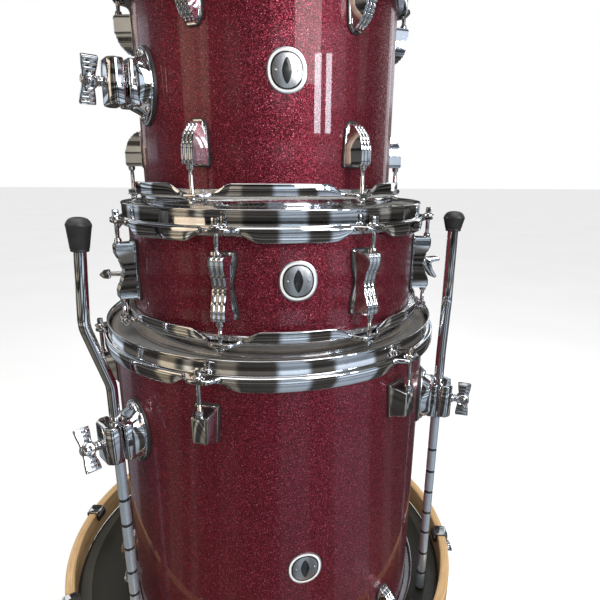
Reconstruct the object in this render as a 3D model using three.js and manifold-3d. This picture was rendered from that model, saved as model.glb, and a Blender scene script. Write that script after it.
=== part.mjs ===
// A four-piece drum kit, packed as a tower: the bass drum lies on its batter head, the floor tom stands
// upside down on it with its legs in the air, then come the snare drum and the rack tom.
// Units are millimetres and +Z is up. The origin is on the bass drum's axis, where it meets the floor.
// Each drum is made in a frame of its own: +Z is its axis, z = 0 is the lower edge of its shell, and an
// angle counts counter-clockwise from above, from the -Y side, which faces the front of the tower.

import * as THREE from "three";
import { mergeVertices } from "three/addons/utils/BufferGeometryUtils.js";
import Module from "manifold-3d";

const wasm = await Module();
wasm.setup();

// ---------------------------------------------------------------- driving dimensions
const INCH = 25.4;
const SEGMENTS = 36; // facets round every drum
const GAP = 0.3; // clearance between pieces that touch

const FILM = 1; // drum head
const COLLAR_DROP = 15; // how far the head's rim reaches down the shell
const FLESH_HOOP = { inner: 3.4, outer: 7.8, top: -8.6 }; // beyond the shell's radius, below its edge

const LIP = 10; // how far a steel hoop stands above the shell's edge
const STEEL_HOOP = {
  ...{ wallIn: 3.7, wallOut: 6, skirtIn: 8.8, skirtOut: 11 }, // beyond the shell's radius
  ...{ shelfTop: -6, shelfLow: -8.3, skirtLow: -20.7 },
};
const EAR = { inner: 9.5, outer: 22, width: 22, low: -9 };
const WOOD_HOOP = { inner: 6, outer: 19, low: -2, top: 36 };

const BASS = {
  radius: 280, depth: 18 * INCH, wall: 8, angle: -7.6, centre: [0, 0], fleshTop: WOOD_HOOP.low - GAP,
};
const FLOOR_TOM = { radius: 204, depth: 16 * INCH, wall: 6, angle: 12.1, centre: [18.7, -39.6], rods: 6 };
const SNARE = { radius: 178.5, depth: 5 * INCH, wall: 6, angle: 7.25, centre: [22.4, -42.6], rods: 8 };
const RACK_TOM = { radius: 153, depth: 9 * INCH, wall: 6, angle: 4.6, centre: [16.8, -33.5], rods: 6 };

const SNARE_LUG_HEIGHT = 62;
const STRAINER_ANGLE = 90; // its butt plate is opposite
const STRAINER_LEVEL = 61;
const BUTT_LEVEL = 52;
const LEVER_PIVOT = { x: 30, z: -8, radius: 5, width: 16 };
const SNARE_GATE = 48; // width of the two notches that let the snare straps through
const WIRES = { count: 20, pitch: 2, thickness: 0.9, reach: 150, plate: 12, top: -4.4 };

// A clamp that holds a rod: positions are measured out from the shell's surface.
const CLAMP = { rodAxis: 24.5, rodBore: 6.2, bodyFace: 23.2, jawIn: 26, jawOut: 42, height: 44, width: 38 };
const CLAMP_PLATE = { height: 76, width: 50, thickness: 2.7 };
const WING = {
  shaft: 3.2, tip: 32, neck: 4.2, middle: 57, boss: 8, bossHeight: 11, length: 48, width: 16, thickness: 6,
};
const WING_TILTS = { legs: [33, 6, 20], tom: -30 }; // degrees about the screws, from upright
const TOM_CLAMP = { angle: -60, level: 117 };
const LEG_CLAMP_LEVEL = 305;

// A leg as it stands in its clamp: straight, then out to the knee, then a little back towards the top.
const LEG = { radius: 5.9, low: -7.5, straightTop: 368, knee: [20.5, 439], top: [14.5, 533] };
// knee is the way a leg's dogleg points, and footDepth how far it reaches into its foot.
const LEGS = [
  { angle: -60, knee: -60, footDepth: 20 },
  { angle: 60, knee: -30, footDepth: 10 },
  { angle: 180, knee: 180, footDepth: 20 },
];
const FOOT = { cap: 13, bore: 6.2, neckRadius: 8.2, endRadius: 11.8 };

const SPUR = { angle: 122, level: 362, pivotOut: 31, length: 245, radius: 8, footLength: 34 };
const SPUR_HINGE = [0.8858, -0.1276, -0.4462]; // the right spur's axis on its bracket; the left one mirrors Y
const HOLDER = { level: 300, bossRadius: 23, bore: 12.8, height: 17, plate: 3.3 };

// ---------------------------------------------------------------- shapes
const DEGREE = Math.PI / 180;

function toSolid(geometry) {
  const bare = geometry.index ? geometry.toNonIndexed() : geometry.clone();
  bare.deleteAttribute("normal");
  bare.deleteAttribute("uv");
  const merged = mergeVertices(bare, 1e-4);
  const vertProperties = merged.attributes.position.array;
  const triVerts = new Uint32Array(merged.index.array);
  return new wasm.Manifold(new wasm.Mesh({ numProp: 3, vertProperties, triVerts }));
}

function toGeometry(solid) {
  const { vertProperties, triVerts } = solid.getMesh();
  const geometry = new THREE.BufferGeometry();
  geometry.setAttribute("position", new THREE.BufferAttribute(vertProperties, 3));
  geometry.setIndex(new THREE.BufferAttribute(triVerts, 1));
  geometry.computeVertexNormals();
  return geometry;
}

function join(first, ...others) {
  return toGeometry(others.reduce((solid, other) => solid.add(toSolid(other)), toSolid(first)));
}

function cut(first, ...tools) {
  return toGeometry(tools.reduce((solid, tool) => solid.subtract(toSolid(tool)), toSolid(first)));
}

// A body turned about Z from [radius, z] points. A profile off the axis is closed on itself.
function lathe(profile, segments = SEGMENTS) {
  const points = profile.map(([radius, z]) => new THREE.Vector2(radius, z));
  if (profile[0][0] > 0) points.push(points[0].clone());
  if (THREE.ShapeUtils.area(points) < 0) points.reverse();
  return new THREE.LatheGeometry(points, segments).rotateX(90 * DEGREE);
}

function upsideDown(profile) {
  return profile.map(([radius, z]) => [radius, -z]);
}

// A box between two corners.
function block(low, high) {
  const size = high.map((value, i) => value - low[i]);
  const middle = high.map((value, i) => (value + low[i]) / 2);
  return new THREE.BoxGeometry(...size).translate(...middle);
}

function extrusion(points, depth) {
  const shape = new THREE.Shape(points.map(([u, v]) => new THREE.Vector2(u, v)));
  return new THREE.ExtrudeGeometry(shape, { depth, bevelEnabled: false });
}

// A side profile of [x, z] points, as wide as it says along Y, centred on y = middle.
function across(points, width, middle = 0) {
  return extrusion(points, width)
    .translate(0, 0, -width / 2 - middle)
    .rotateX(90 * DEGREE);
}

// A front outline of [y, z] points that reaches from x = low to x = high.
function outward(points, low, high) {
  const turn = new THREE.Matrix4().makeBasis(
    new THREE.Vector3(0, 1, 0),
    new THREE.Vector3(0, 0, 1),
    new THREE.Vector3(1, 0, 0),
  );
  return extrusion(points, high - low)
    .translate(0, 0, low)
    .applyMatrix4(turn);
}

// A round bar along X, Y or Z, between two points of that axis.
function bar(axis, radius, low, high, sides = 12) {
  const middle = (low + high) / 2;
  const shape = new THREE.CylinderGeometry(radius, radius, high - low, sides).translate(0, middle, 0);
  if (axis === "x") return shape.rotateZ(-90 * DEGREE);
  if (axis === "z") return shape.rotateX(90 * DEGREE);
  return shape;
}

// A round bar through the origin, in any direction.
function barAlong(direction, radius, low, high, sides = 16) {
  const up = new THREE.Vector3(0, 1, 0);
  const turn = new THREE.Quaternion().setFromUnitVectors(up, direction.clone().normalize());
  return bar("y", radius, low, high, sides).applyQuaternion(turn);
}

// An oval outline with eight corners.
function oval(width, height) {
  const [w, h] = [width / 2, height / 2];
  const quarter = [[w, h * 0.45], [w * 0.5, h]];
  return [
    ...quarter,
    ...quarter.toReversed().map(([y, z]) => [-y, z]),
    ...quarter.map(([y, z]) => [-y, -z]),
    ...quarter.toReversed().map(([y, z]) => [y, -z]),
  ];
}

// ---------------------------------------------------------------- materials
function finish(color, roughness, metalness) {
  return new THREE.MeshStandardMaterial({ color, roughness, metalness });
}

const SPARKLE = finish(0x6e1a30, 0.25, 0.3);
const CHROME = finish(0xd6d8da, 0.08, 1);
const MAPLE = finish(0xc89a58, 0.45, 0);
const DARK_HEAD = finish(0x2c2d2c, 0.5, 0);
const COATED_HEAD = finish(0xe9e8e2, 0.65, 0);
const CLEAR_HEAD = finish(0xdfe3e4, 0.2, 0);
const RUBBER = finish(0x1c1d1f, 0.8, 0);

// ---------------------------------------------------------------- placing
function piece(name, geometry, material) {
  const mesh = new THREE.Mesh(geometry, material);
  mesh.name = name;
  return mesh;
}

// A frame on a drum's shell: +X points out from the surface, +Z up, +Y counter-clockwise round the shell.
function onShell(drum, angle, level) {
  const frame = new THREE.Group();
  frame.position.set(drum.radius * Math.sin(angle * DEGREE), -drum.radius * Math.cos(angle * DEGREE), level);
  frame.rotation.z = (angle - 90) * DEGREE;
  return frame;
}

function placeDrum(drum, level, ...children) {
  const group = new THREE.Group();
  group.position.set(...drum.centre, level);
  group.rotation.z = drum.angle * DEGREE;
  group.add(...children);
  return group;
}

// ---------------------------------------------------------------- shells, heads and hoops
function shell({ radius, depth, wall }) {
  return lathe([[radius - wall, 0], [radius, 0], [radius, depth], [radius - wall, depth]]);
}

// The film lies on the shell's upper edge at z = 0, and its rim hangs outside the shell.
function headProfile({ radius, fleshTop = FLESH_HOOP.top }) {
  return [
    [0, GAP],
    [radius + GAP, GAP],
    [radius + GAP, -COLLAR_DROP],
    [radius + FLESH_HOOP.outer, -COLLAR_DROP],
    [radius + FLESH_HOOP.outer, fleshTop],
    [radius + FLESH_HOOP.inner, fleshTop],
    [radius + FLESH_HOOP.inner, GAP + FILM],
    [0, GAP + FILM],
  ];
}

function steelHoopProfile({ radius }) {
  const h = STEEL_HOOP;
  return [
    [radius + h.wallIn, LIP],
    [radius + h.wallIn, h.shelfLow],
    [radius + h.skirtIn, h.shelfLow],
    [radius + h.skirtIn, h.skirtLow],
    [radius + h.skirtOut, h.skirtLow],
    [radius + h.skirtOut, h.shelfTop],
    [radius + h.wallOut, h.shelfTop],
    [radius + h.wallOut, LIP],
  ];
}

function woodHoopProfile({ radius }) {
  const { inner, outer, low, top } = WOOD_HOOP;
  return [[radius + inner, low], [radius + outer, low], [radius + outer, top], [radius + inner, top]];
}

// The angles of a drum's tension rods: the badge is halfway between two of them.
function rodAngles({ rods }) {
  return Array.from({ length: rods }, (_, i) => (360 / rods) * (i + 0.5));
}

// A pressed steel hoop with an ear for each tension rod. side is 1 on top of the shell and -1 below it.
function steelHoop(drum, side) {
  const profile = steelHoopProfile(drum);
  const ring = lathe(side > 0 ? profile : upsideDown(profile));
  const [low, high] = [side * EAR.low, side * STEEL_HOOP.shelfTop].sort((a, b) => a - b);
  const ears = rodAngles(drum).map((angle) =>
    block(
      [drum.radius + EAR.inner, -EAR.width / 2, low],
      [drum.radius + EAR.outer, EAR.width / 2, high],
    ).rotateZ((angle - 90) * DEGREE),
  );
  return join(ring, ...ears);
}

// Cuts the two gates for the snare straps through a lower hoop's lip.
function withSnareGates(hoop, drum) {
  const inner = drum.radius - GAP;
  const outer = drum.radius + STEEL_HOOP.skirtIn - GAP;
  const gates = [90, -90].map((angle) =>
    block([inner, -SNARE_GATE / 2, -LIP - 1], [outer, SNARE_GATE / 2, 3]).rotateZ((angle - 90) * DEGREE),
  );
  return cut(hoop, ...gates);
}

// A shell with a head and a hoop at each end.
function drumBody(name, drum, { shellLook, top, bottom, hoop, hoopLook }) {
  const upper = piece(`${name}_${top.side}_hoop`, hoop(drum, 1), hoopLook);
  const lower = piece(`${name}_${bottom.side}_hoop`, hoop(drum, -1), hoopLook);
  const upperHead = piece(`${name}_${top.side}_head`, lathe(headProfile(drum)), top.look);
  const lowerHead = piece(`${name}_${bottom.side}_head`, lathe(upsideDown(headProfile(drum))), bottom.look);
  upper.position.z = drum.depth;
  upperHead.position.z = drum.depth;
  return [piece(`${name}_shell`, shell(drum), shellLook), upper, lower, upperHead, lowerHead];
}

// ---------------------------------------------------------------- rod clamps
function clampBase() {
  const { rodAxis, rodBore, bodyFace, height, width } = CLAMP;
  const plate = outward(oval(CLAMP_PLATE.width, CLAMP_PLATE.height), GAP, CLAMP_PLATE.thickness);
  const body = block([CLAMP_PLATE.thickness - 1, -width / 2, -height / 2], [bodyFace, width / 2, height / 2]);
  const groove = bar("z", rodBore, -height, height, 16).translate(rodAxis, 0, 0);
  return cut(join(plate, body), groove);
}

function clampJaw() {
  const { rodAxis, rodBore, jawIn, jawOut, height, width } = CLAMP;
  const bevel = 5;
  const profile = [
    [jawIn, -height / 2],
    [jawOut - bevel, -height / 2],
    [jawOut, -height / 2 + bevel],
    [jawOut, height / 2 - bevel],
    [jawOut - bevel, height / 2],
    [jawIn, height / 2],
  ];
  const groove = bar("z", rodBore, -height, height, 16).translate(rodAxis, 0, 0);
  const screwHole = bar("x", WING.shaft + GAP, rodAxis, jawOut + 1);
  return cut(across(profile, width - 4), groove, screwHole);
}

// A thumb screw through the middle of the jaw. Its flat waisted wing lies along the screw's axis.
function wingBolt(tilt) {
  const { middle, bossHeight } = WING;
  const [half, end, waist] = [WING.length / 2, WING.width / 2, WING.width / 3];
  const outline = [[end, half], [-end, half], [-waist, 0], [-end, -half], [end, -half], [waist, 0]];
  return join(
    bar("x", WING.shaft, WING.tip, CLAMP.jawOut + 2),
    bar("x", WING.neck, CLAMP.jawOut + GAP, middle),
    bar("y", WING.boss, -bossHeight / 2, bossHeight / 2, 16).translate(middle, 0, 0),
    across(outline.map(([x, z]) => [middle + x, z]), WING.thickness),
  ).rotateX(tilt * DEGREE);
}

// The three pieces of a clamp, in a frame on the shell.
function rodClamp(frame, base, jaw, screw, tilt) {
  frame.add(piece(base, clampBase(), CHROME));
  frame.add(piece(jaw, clampJaw(), CHROME));
  frame.add(piece(screw, wingBolt(tilt), CHROME));
  return frame;
}

// ---------------------------------------------------------------- floor tom legs
class LegLine extends THREE.CurvePath {
  constructor() {
    super();
    const corners = [
      [0, LEG.low],
      [0, LEG.straightTop],
      LEG.knee,
      LEG.top,
    ].map(([x, z]) => new THREE.Vector3(x, 0, z));
    corners.slice(1).forEach((corner, i) => this.add(new THREE.LineCurve3(corners[i], corner)));
  }
}

// A dogleg rod of eight sides along the leg's line, in the plane y = 0.
function legRod() {
  const sides = 8;
  const corners = Array.from({ length: sides }, (_, i) => {
    const turn = (i * 2 * Math.PI) / sides;
    return new THREE.Vector2(LEG.radius * Math.cos(turn), LEG.radius * Math.sin(turn));
  });
  const path = new LegLine();
  return new THREE.ExtrudeGeometry(new THREE.Shape(corners), { steps: 24, extrudePath: path });
}

// A rubber foot, pushed over the leg's end from above. z = 0 is its mouth.
function rubberFoot(boreDepth) {
  const { cap, bore, neckRadius, endRadius } = FOOT;
  const length = boreDepth + cap;
  return lathe(
    [
      [0, boreDepth],
      [bore, boreDepth],
      [bore, 0],
      [neckRadius, 0],
      [endRadius, length - 9],
      [endRadius - 1, length - 5],
      [endRadius - 4.5, length - 1.5],
      [0, length],
    ],
    12,
  );
}

function leg(number, { angle, knee, footDepth }) {
  const group = onShell(FLOOR_TOM, angle, 0);
  const standing = new THREE.Group();
  standing.position.x = CLAMP.rodAxis;
  standing.rotation.z = (knee - angle) * DEGREE;
  const foot = piece(`floor_leg_foot_${number}`, rubberFoot(footDepth), RUBBER);
  const lean = Math.atan2(LEG.top[0] - LEG.knee[0], LEG.top[1] - LEG.knee[1]);
  const seat = footDepth - GAP;
  foot.position.set(LEG.top[0] - seat * Math.sin(lean), 0, LEG.top[1] - seat * Math.cos(lean));
  foot.rotation.y = lean;
  standing.add(piece(`floor_leg_${number}`, legRod(), CHROME), foot);
  group.add(standing);
  return group;
}

// ---------------------------------------------------------------- snare drum hardware
// A waisted lug that takes a tension rod at each end.
function snareLug() {
  const half = SNARE_LUG_HEIGHT / 2;
  const upper = [[14, 0], [15.5, 7], [21, 20], [20, half]];
  const profile = [
    ...upper,
    [2, half],
    [2, -half],
    ...upper.slice(1).toReversed().map(([x, z]) => [x, -z]),
  ];
  const plate = block([GAP, -13, -half - 2], [2.6, 13, half + 2]);
  return join(plate, across(profile, 15));
}

function strainerBody() {
  const plate = outward(oval(36, 74), GAP, 2.5);
  const housing = across([[2, -26], [15, -26], [22, -14], [22.5, 6], [17, 26], [2, 26]], 26);
  const cheek = [[15, -22], [27, -15], [35, -10], [35, -4], [27, 2], [15, 8]];
  const strapClamp = block([2, -14, -36], [10, 14, -26.5]);
  const cheekGap = LEVER_PIVOT.width / 2 + GAP;
  const cheeks = [-1, 1].map((side) => across(cheek, 4, side * (cheekGap + 2)));
  return join(plate, housing, strapClamp, ...cheeks);
}

// The throw-off lever: a hub, a finger tab above and a curved pull below. Its pivot is at the origin.
function strainerLever() {
  const half = LEVER_PIVOT.width / 2;
  const tab = [[-2, 4.5], [12, 2.5], [26, 3], [28, 0.5], [27, -2], [15, -4]];
  const pull = [[18, -14], [25, -24], [23, -27], [18, -25], [9, -14], [4, -5]];
  return join(bar("y", LEVER_PIVOT.radius, -half, half), across([...tab, ...pull], 2 * half - 1));
}

function strainerKnob() {
  return lathe([[0, 0], [3, 0], [3, 2], [8, 3], [8, 13], [6.5, 15], [0, 15]], 16);
}

function buttPlate() {
  const plate = outward(oval(34, 58), GAP, 2.5);
  const clamp = block([2, -14, -22], [11, 14, 4]);
  const screw = bar("x", 3.2, 10, 38).translate(0, 0, -7);
  const thumb = across([[30, -13], [38, -12], [43, -7], [38, -2], [30, -1]], 8);
  return join(plate, clamp, screw, thumb);
}

// The snare wires run along X under the lower head, between two end plates.
function snareWires() {
  const { count, pitch, thickness, reach, plate, top } = WIRES;
  const half = (count * pitch) / 2 + 1;
  const ends = [-1, 1].map((side) => {
    const [low, high] = [side * (reach - plate), side * reach].sort((a, b) => a - b);
    return block([low, -half, top - 2], [high, half, top]);
  });
  const strands = Array.from({ length: count }, (_, i) => {
    const y = (i - (count - 1) / 2) * pitch;
    const inset = reach - plate / 2;
    return block(
      [-inset, y - thickness / 2, top - 0.4 - thickness],
      [inset, y + thickness / 2, top - 0.4],
    );
  });
  return join(...ends, ...strands);
}

// ---------------------------------------------------------------- bass drum hardware
function spurHinge(side) {
  const [x, y, z] = SPUR_HINGE;
  return new THREE.Vector3(x, side * y, z);
}

function spurBracket(side) {
  const plate = outward(oval(48, 70), GAP, 3.2);
  const body = across([[2, -22], [12, -20], [18, -9], [18, 9], [12, 20], [2, 22]], 30);
  const boss = barAlong(spurHinge(side), 9, -20, -8).translate(SPUR.pivotOut, 0, 0);
  return join(plate, body, boss);
}

// The spur lies down the shell from its pivot, which is the origin. Its knuckle turns on the hinge axis.
function spurLeg(side) {
  return join(
    barAlong(spurHinge(side), 11, -7.7, 9),
    bar("z", SPUR.radius, -SPUR.length, 0),
  );
}

function spurFoot() {
  const { radius, length, footLength } = SPUR;
  const bore = radius + GAP;
  return lathe(
    [
      [0, -length - GAP],
      [bore, -length - GAP],
      [bore, -length + 18],
      [bore + 3, -length + 18],
      [bore + 3.5, -length - 6],
      [5, 18 - length - footLength],
      [0, 18 - length - footLength],
    ],
    12,
  );
}

function tomHolderBase() {
  const { bossRadius, bore, height, plate } = HOLDER;
  const outline = outward(oval(66, 96), GAP, plate);
  const boss = bar("x", bossRadius, plate - 1, height, 24);
  const lug = block([plate - 1, 0, -11], [height, 34, 11]);
  const tubeBore = bar("x", bore, -1, height + 1, 24);
  const boltHole = bar("y", 3.5, bore - 2, 40).translate(height / 2 + 1, 0, 0);
  return cut(join(outline, boss, lug), tubeBore, boltHole);
}

// A drum-key bolt with a square head, across the holder's lug.
function holderBolt() {
  const x = HOLDER.height / 2 + 1;
  return join(
    bar("y", 3.2, 15, 36).translate(x, 0, 0),
    bar("y", 6, 34 + GAP, 37, 16).translate(x, 0, 0),
    block([x - 2.8, 36, -2.8], [x + 2.8, 44, 2.8]),
  );
}

// ---------------------------------------------------------------- the four drums
const SPARKLE_SHELL = { shellLook: SPARKLE, hoopLook: CHROME, hoop: steelHoop };

function bassDrum() {
  const hoop = (drum, side) => {
    const profile = woodHoopProfile(drum);
    return lathe(side > 0 ? profile : upsideDown(profile));
  };
  const spurs = [["left", -1], ["right", 1]].map(([name, side]) => {
    const frame = onShell(BASS, side * SPUR.angle, SPUR.level);
    const spur = new THREE.Group();
    spur.position.x = SPUR.pivotOut;
    spur.add(piece(`spur_leg_${name}`, spurLeg(side), CHROME));
    spur.add(piece(`spur_foot_${name}`, spurFoot(), RUBBER));
    frame.add(piece(`spur_bracket_${name}`, spurBracket(side), CHROME), spur);
    return frame;
  });
  const holder = onShell(BASS, 0, HOLDER.level);
  holder.add(piece("tom_holder_base", tomHolderBase(), CHROME));
  holder.add(piece("tom_holder_key_bolt", holderBolt(), CHROME));
  const body = drumBody("bass", BASS, {
    shellLook: SPARKLE,
    hoopLook: MAPLE,
    hoop,
    top: { side: "front", look: DARK_HEAD },
    bottom: { side: "batter", look: COATED_HEAD },
  });
  return [...body, ...spurs, holder];
}

function floorTom() {
  const body = drumBody("floor_tom", FLOOR_TOM, {
    ...SPARKLE_SHELL,
    top: { side: "resonant", look: CLEAR_HEAD },
    bottom: { side: "batter", look: COATED_HEAD },
  });
  const clamps = LEGS.map(({ angle }, i) => {
    const frame = onShell(FLOOR_TOM, angle, LEG_CLAMP_LEVEL);
    const names = ["bracket", "clamp_jaw", "wing_bolt"].map((role) => `leg_${role}_${i + 1}`);
    return rodClamp(frame, ...names, WING_TILTS.legs[i]);
  });
  return [...body, ...clamps, ...LEGS.map((where, i) => leg(i + 1, where))];
}

function snareDrum() {
  const body = drumBody("snare", SNARE, {
    ...SPARKLE_SHELL,
    hoop: (drum, side) => (side > 0 ? steelHoop(drum, side) : withSnareGates(steelHoop(drum, side), drum)),
    top: { side: "batter", look: COATED_HEAD },
    bottom: { side: "resonant", look: CLEAR_HEAD },
  });
  const lugs = rodAngles(SNARE).map((angle, i) => {
    const frame = onShell(SNARE, angle, SNARE.depth / 2);
    frame.add(piece(`snare_lug_${i + 1}`, snareLug(), CHROME));
    return frame;
  });
  const strainer = onShell(SNARE, STRAINER_ANGLE, STRAINER_LEVEL);
  const lever = piece("throw_off_lever", strainerLever(), CHROME);
  lever.position.set(LEVER_PIVOT.x, 0, LEVER_PIVOT.z);
  const knob = piece("strainer_knob", strainerKnob(), CHROME);
  knob.position.set(11, 0, 26 + GAP);
  strainer.add(piece("strainer_body", strainerBody(), CHROME), lever, knob);
  const butt = onShell(SNARE, STRAINER_ANGLE - 180, BUTT_LEVEL);
  butt.add(piece("snare_butt_plate", buttPlate(), CHROME));
  return [...body, ...lugs, strainer, butt, piece("snare_wires", snareWires(), CHROME)];
}

function rackTom() {
  const body = drumBody("rack_tom", RACK_TOM, {
    ...SPARKLE_SHELL,
    top: { side: "batter", look: COATED_HEAD },
    bottom: { side: "resonant", look: CLEAR_HEAD },
  });
  const frame = onShell(RACK_TOM, TOM_CLAMP.angle, TOM_CLAMP.level);
  return [...body, rodClamp(frame, "tom_bracket", "tom_clamp_jaw", "tom_wing_bolt", WING_TILTS.tom)];
}

// ---------------------------------------------------------------- the tower
// A drum's hoop lip rests on the film of the head below it.
const STEP_UP = GAP + FILM + GAP + LIP;
const bassLevel = WOOD_HOOP.top;
const floorTomLevel = bassLevel + BASS.depth + STEP_UP;
const snareLevel = floorTomLevel + FLOOR_TOM.depth + STEP_UP;
const rackTomLevel = snareLevel + SNARE.depth + STEP_UP;

const kit = new THREE.Group();
kit.add(
  placeDrum(BASS, bassLevel, ...bassDrum()),
  placeDrum(FLOOR_TOM, floorTomLevel, ...floorTom()),
  placeDrum(SNARE, snareLevel, ...snareDrum()),
  placeDrum(RACK_TOM, rackTomLevel, ...rackTom()),
);

export default kit;
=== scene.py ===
import math

import bmesh
import bpy
from mathutils import Matrix, Vector


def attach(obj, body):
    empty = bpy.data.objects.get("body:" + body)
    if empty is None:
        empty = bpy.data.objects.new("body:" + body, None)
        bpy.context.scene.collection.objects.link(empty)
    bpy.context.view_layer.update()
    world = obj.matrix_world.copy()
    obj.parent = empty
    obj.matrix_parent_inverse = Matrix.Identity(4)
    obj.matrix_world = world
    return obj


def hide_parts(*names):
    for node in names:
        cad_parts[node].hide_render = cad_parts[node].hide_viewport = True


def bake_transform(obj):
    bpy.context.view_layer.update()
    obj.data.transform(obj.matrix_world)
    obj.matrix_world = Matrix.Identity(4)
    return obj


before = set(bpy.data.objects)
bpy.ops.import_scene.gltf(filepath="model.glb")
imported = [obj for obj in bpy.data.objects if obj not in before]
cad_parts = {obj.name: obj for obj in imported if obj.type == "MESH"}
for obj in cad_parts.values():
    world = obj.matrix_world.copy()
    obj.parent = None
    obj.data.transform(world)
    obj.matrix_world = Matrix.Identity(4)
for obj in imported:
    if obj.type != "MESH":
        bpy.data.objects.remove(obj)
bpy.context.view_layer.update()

# A four-piece drum kit packed as a tower. Shapes are in millimetres until a piece is made, and the
# stage is in metres.
# Each drum has a frame of its own: +Z is its axis, z = 0 is its shell's lower edge, and an angle
# counts counter-clockwise from above, from the -Y side. A frame on a shell has +X out from the
# surface, +Z up and +Y counter-clockwise.

MM = 0.001
FLAT = 1e-6


# ---- forms
class Form:
    """Closed skins: points, faces, and for each face a material number and whether it is smooth."""

    def __init__(self, points=()):
        self.points = [Vector(p) for p in points]
        self.faces, self.looks, self.smooth = [], [], []

    def cover(self, faces, look=0, smooth=True):
        """Adds faces between points that the form has."""
        self.faces += faces
        self.looks += [look] * len(faces)
        self.smooth += [smooth] * len(faces)
        return self

    def join(self, *others):
        for other in others:
            first = len(self.points)
            self.points += other.points
            self.faces += [[first + i for i in face] for face in other.faces]
            self.looks += other.looks
            self.smooth += other.smooth
        return self

    def moved(self, matrix):
        self.points = [matrix @ p for p in self.points]
        return self

    def at(self, x, y, z):
        return self.moved(shift(x, y, z))

    def turned_about(self, axis, degrees):
        return self.moved(spin(degrees, axis))


def joined(*forms):
    return Form().join(*forms)


def shift(x, y, z):
    return Matrix.Translation((x, y, z))


def spin(degrees, axis):
    return Matrix.Rotation(math.radians(degrees), 4, axis)


def mix(a, b, t):
    return a + (b - a) * t


def ease(value, low, high):
    """0 below low, 1 above high, smooth between them."""
    t = min(1, max(0, (value - low) / (high - low)))
    return t * t * (3 - 2 * t)


def rounded(corners, radius, closed=True, steps=3):
    """A line with its corners rounded. A corner of three numbers has its own radius."""
    out, count = [], len(corners)
    for i, corner in enumerate(corners):
        here = Vector(corner[:2])
        if not closed and i in (0, count - 1):
            out.append(here)
            continue
        back = Vector(corners[i - 1][:2]) - here
        ahead = Vector(corners[(i + 1) % count][:2]) - here
        own = corner[2] if len(corner) > 2 else radius
        angle = back.angle(ahead)
        if own <= 0 or angle > math.radians(172):
            out.append(here)
            continue
        reach = min(own / math.tan(angle / 2), 0.48 * min(back.length, ahead.length))
        start, end = here + back.normalized() * reach, here + ahead.normalized() * reach
        for k in range(steps + 1):
            t = k / steps
            out.append(start * (1 - t) ** 2 + here * 2 * t * (1 - t) + end * t * t)
    return [(p.x, p.y) for p in out]


def turned(profile, segments=32, looks=0, axis="z"):
    """A body turned about an axis from (radius, height) points: closed on itself, or from pole to pole."""
    closed = profile[0][0] > FLAT
    points, rings = [], []
    for radius, height in profile:
        size = 1 if radius <= FLAT else segments
        rings.append(list(range(len(points), len(points) + size)))
        for k in range(size):
            a = 2 * math.pi * k / segments
            points.append((radius * math.sin(a), -radius * math.cos(a), height))
    form = Form(points)
    for band, (a, b) in enumerate(zip(rings, rings[1:] + (rings[:1] if closed else []))):
        faces = []
        for k in range(segments):
            n = (k + 1) % segments
            face = [a[k % len(a)], a[n % len(a)], b[n % len(b)], b[k % len(b)]]
            faces.append(list(dict.fromkeys(face)))
        form.cover(faces, looks if isinstance(looks, int) else looks[band])
    if axis == "x":
        form.turned_about("Y", 90)
    if axis == "y":
        form.turned_about("X", -90)
    return form


def disc(radius, low, high, segments, look=0, axis="z"):
    """A plain round bar or plate."""
    return turned([(0, low), (radius, low), (radius, high), (0, high)], segments, look, axis)


def quads(rows, columns, closed=True):
    """The faces of a grid of points, whose rows may run round to their start."""
    faces = []
    for i in range(rows - 1):
        for k in range(columns if closed else columns - 1):
            here, after = i * columns + k, i * columns + (k + 1) % columns
            faces.append([here, after, after + columns, here + columns])
    return faces


def loft(sections, look=0, ends=True):
    """A skin through closed sections of equally many points, with flat ends."""
    count = len(sections[0])
    form = Form(p for section in sections for p in section).cover(quads(len(sections), count), look)
    if ends:
        last = (len(sections) - 1) * count
        form.cover([list(range(count))[::-1], list(range(last, last + count))], look, False)
    return form


def mirrored(half):
    """A closed outline from its right half, which runs along it in order."""
    return half + [(-u, v, *rest) for u, v, *rest in reversed(half)]


def inset(outline, depth):
    """An outline moved inwards by depth, or outwards where that is negative."""
    area = sum(a[0] * b[1] - b[0] * a[1] for a, b in zip(outline, outline[1:] + outline[:1]))
    side = 1 if area > 0 else -1
    out, count = [], len(outline)
    for i in range(count):
        a, here, b = (Vector(outline[k % count]) for k in (i - 1, i, i + 1))
        u, v = (here - a).normalized(), (b - here).normalized()
        n, m = Vector((-u.y, u.x)) * side, Vector((-v.y, v.x)) * side
        move = (n + m) / max(0.4, 1 + n.dot(m))
        out.append(tuple(here + move * depth))
    return out


def keeps_order(outline, moved):
    """False where an outline moved inwards has run back over itself at a tight corner."""
    for i, (a, b) in enumerate(zip(outline, moved)):
        along = Vector(outline[i - 1]) - Vector(a)
        if along.length > FLAT and along.dot(Vector(moved[i - 1]) - Vector(b)) <= 0:
            return False
    return True


PLANES = {
    "yz": lambda u, v, d: (d, u, v),
    "xz": lambda u, v, d: (u, d, v),
    "xy": lambda u, v, d: (u, v, d),
}


def prism(outline, low, high, plane="yz", bevel=0.8, look=0):
    """An outline drawn in a plane and pushed out from low to high, with edges as round as it allows."""
    place = PLANES[plane]
    while bevel > 0.05 and not keeps_order(outline, inset(outline, bevel)):
        bevel *= 0.9
    layers = []
    for k in range(3):
        a = math.radians(45 * k)
        layers.append((low + bevel * (1 - math.cos(a)), bevel * (1 - math.sin(a))))
    layers += [(high + low - depth, shrink) for depth, shrink in reversed(layers)]
    sections = [[place(u, v, depth) for u, v in inset(outline, shrink)] for depth, shrink in layers]
    return loft(sections, look)


def rectangle(u0, v0, u1, v1, corner, steps=2):
    return rounded([(u0, v0), (u1, v0), (u1, v1), (u0, v1)], corner, steps=steps)


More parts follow.
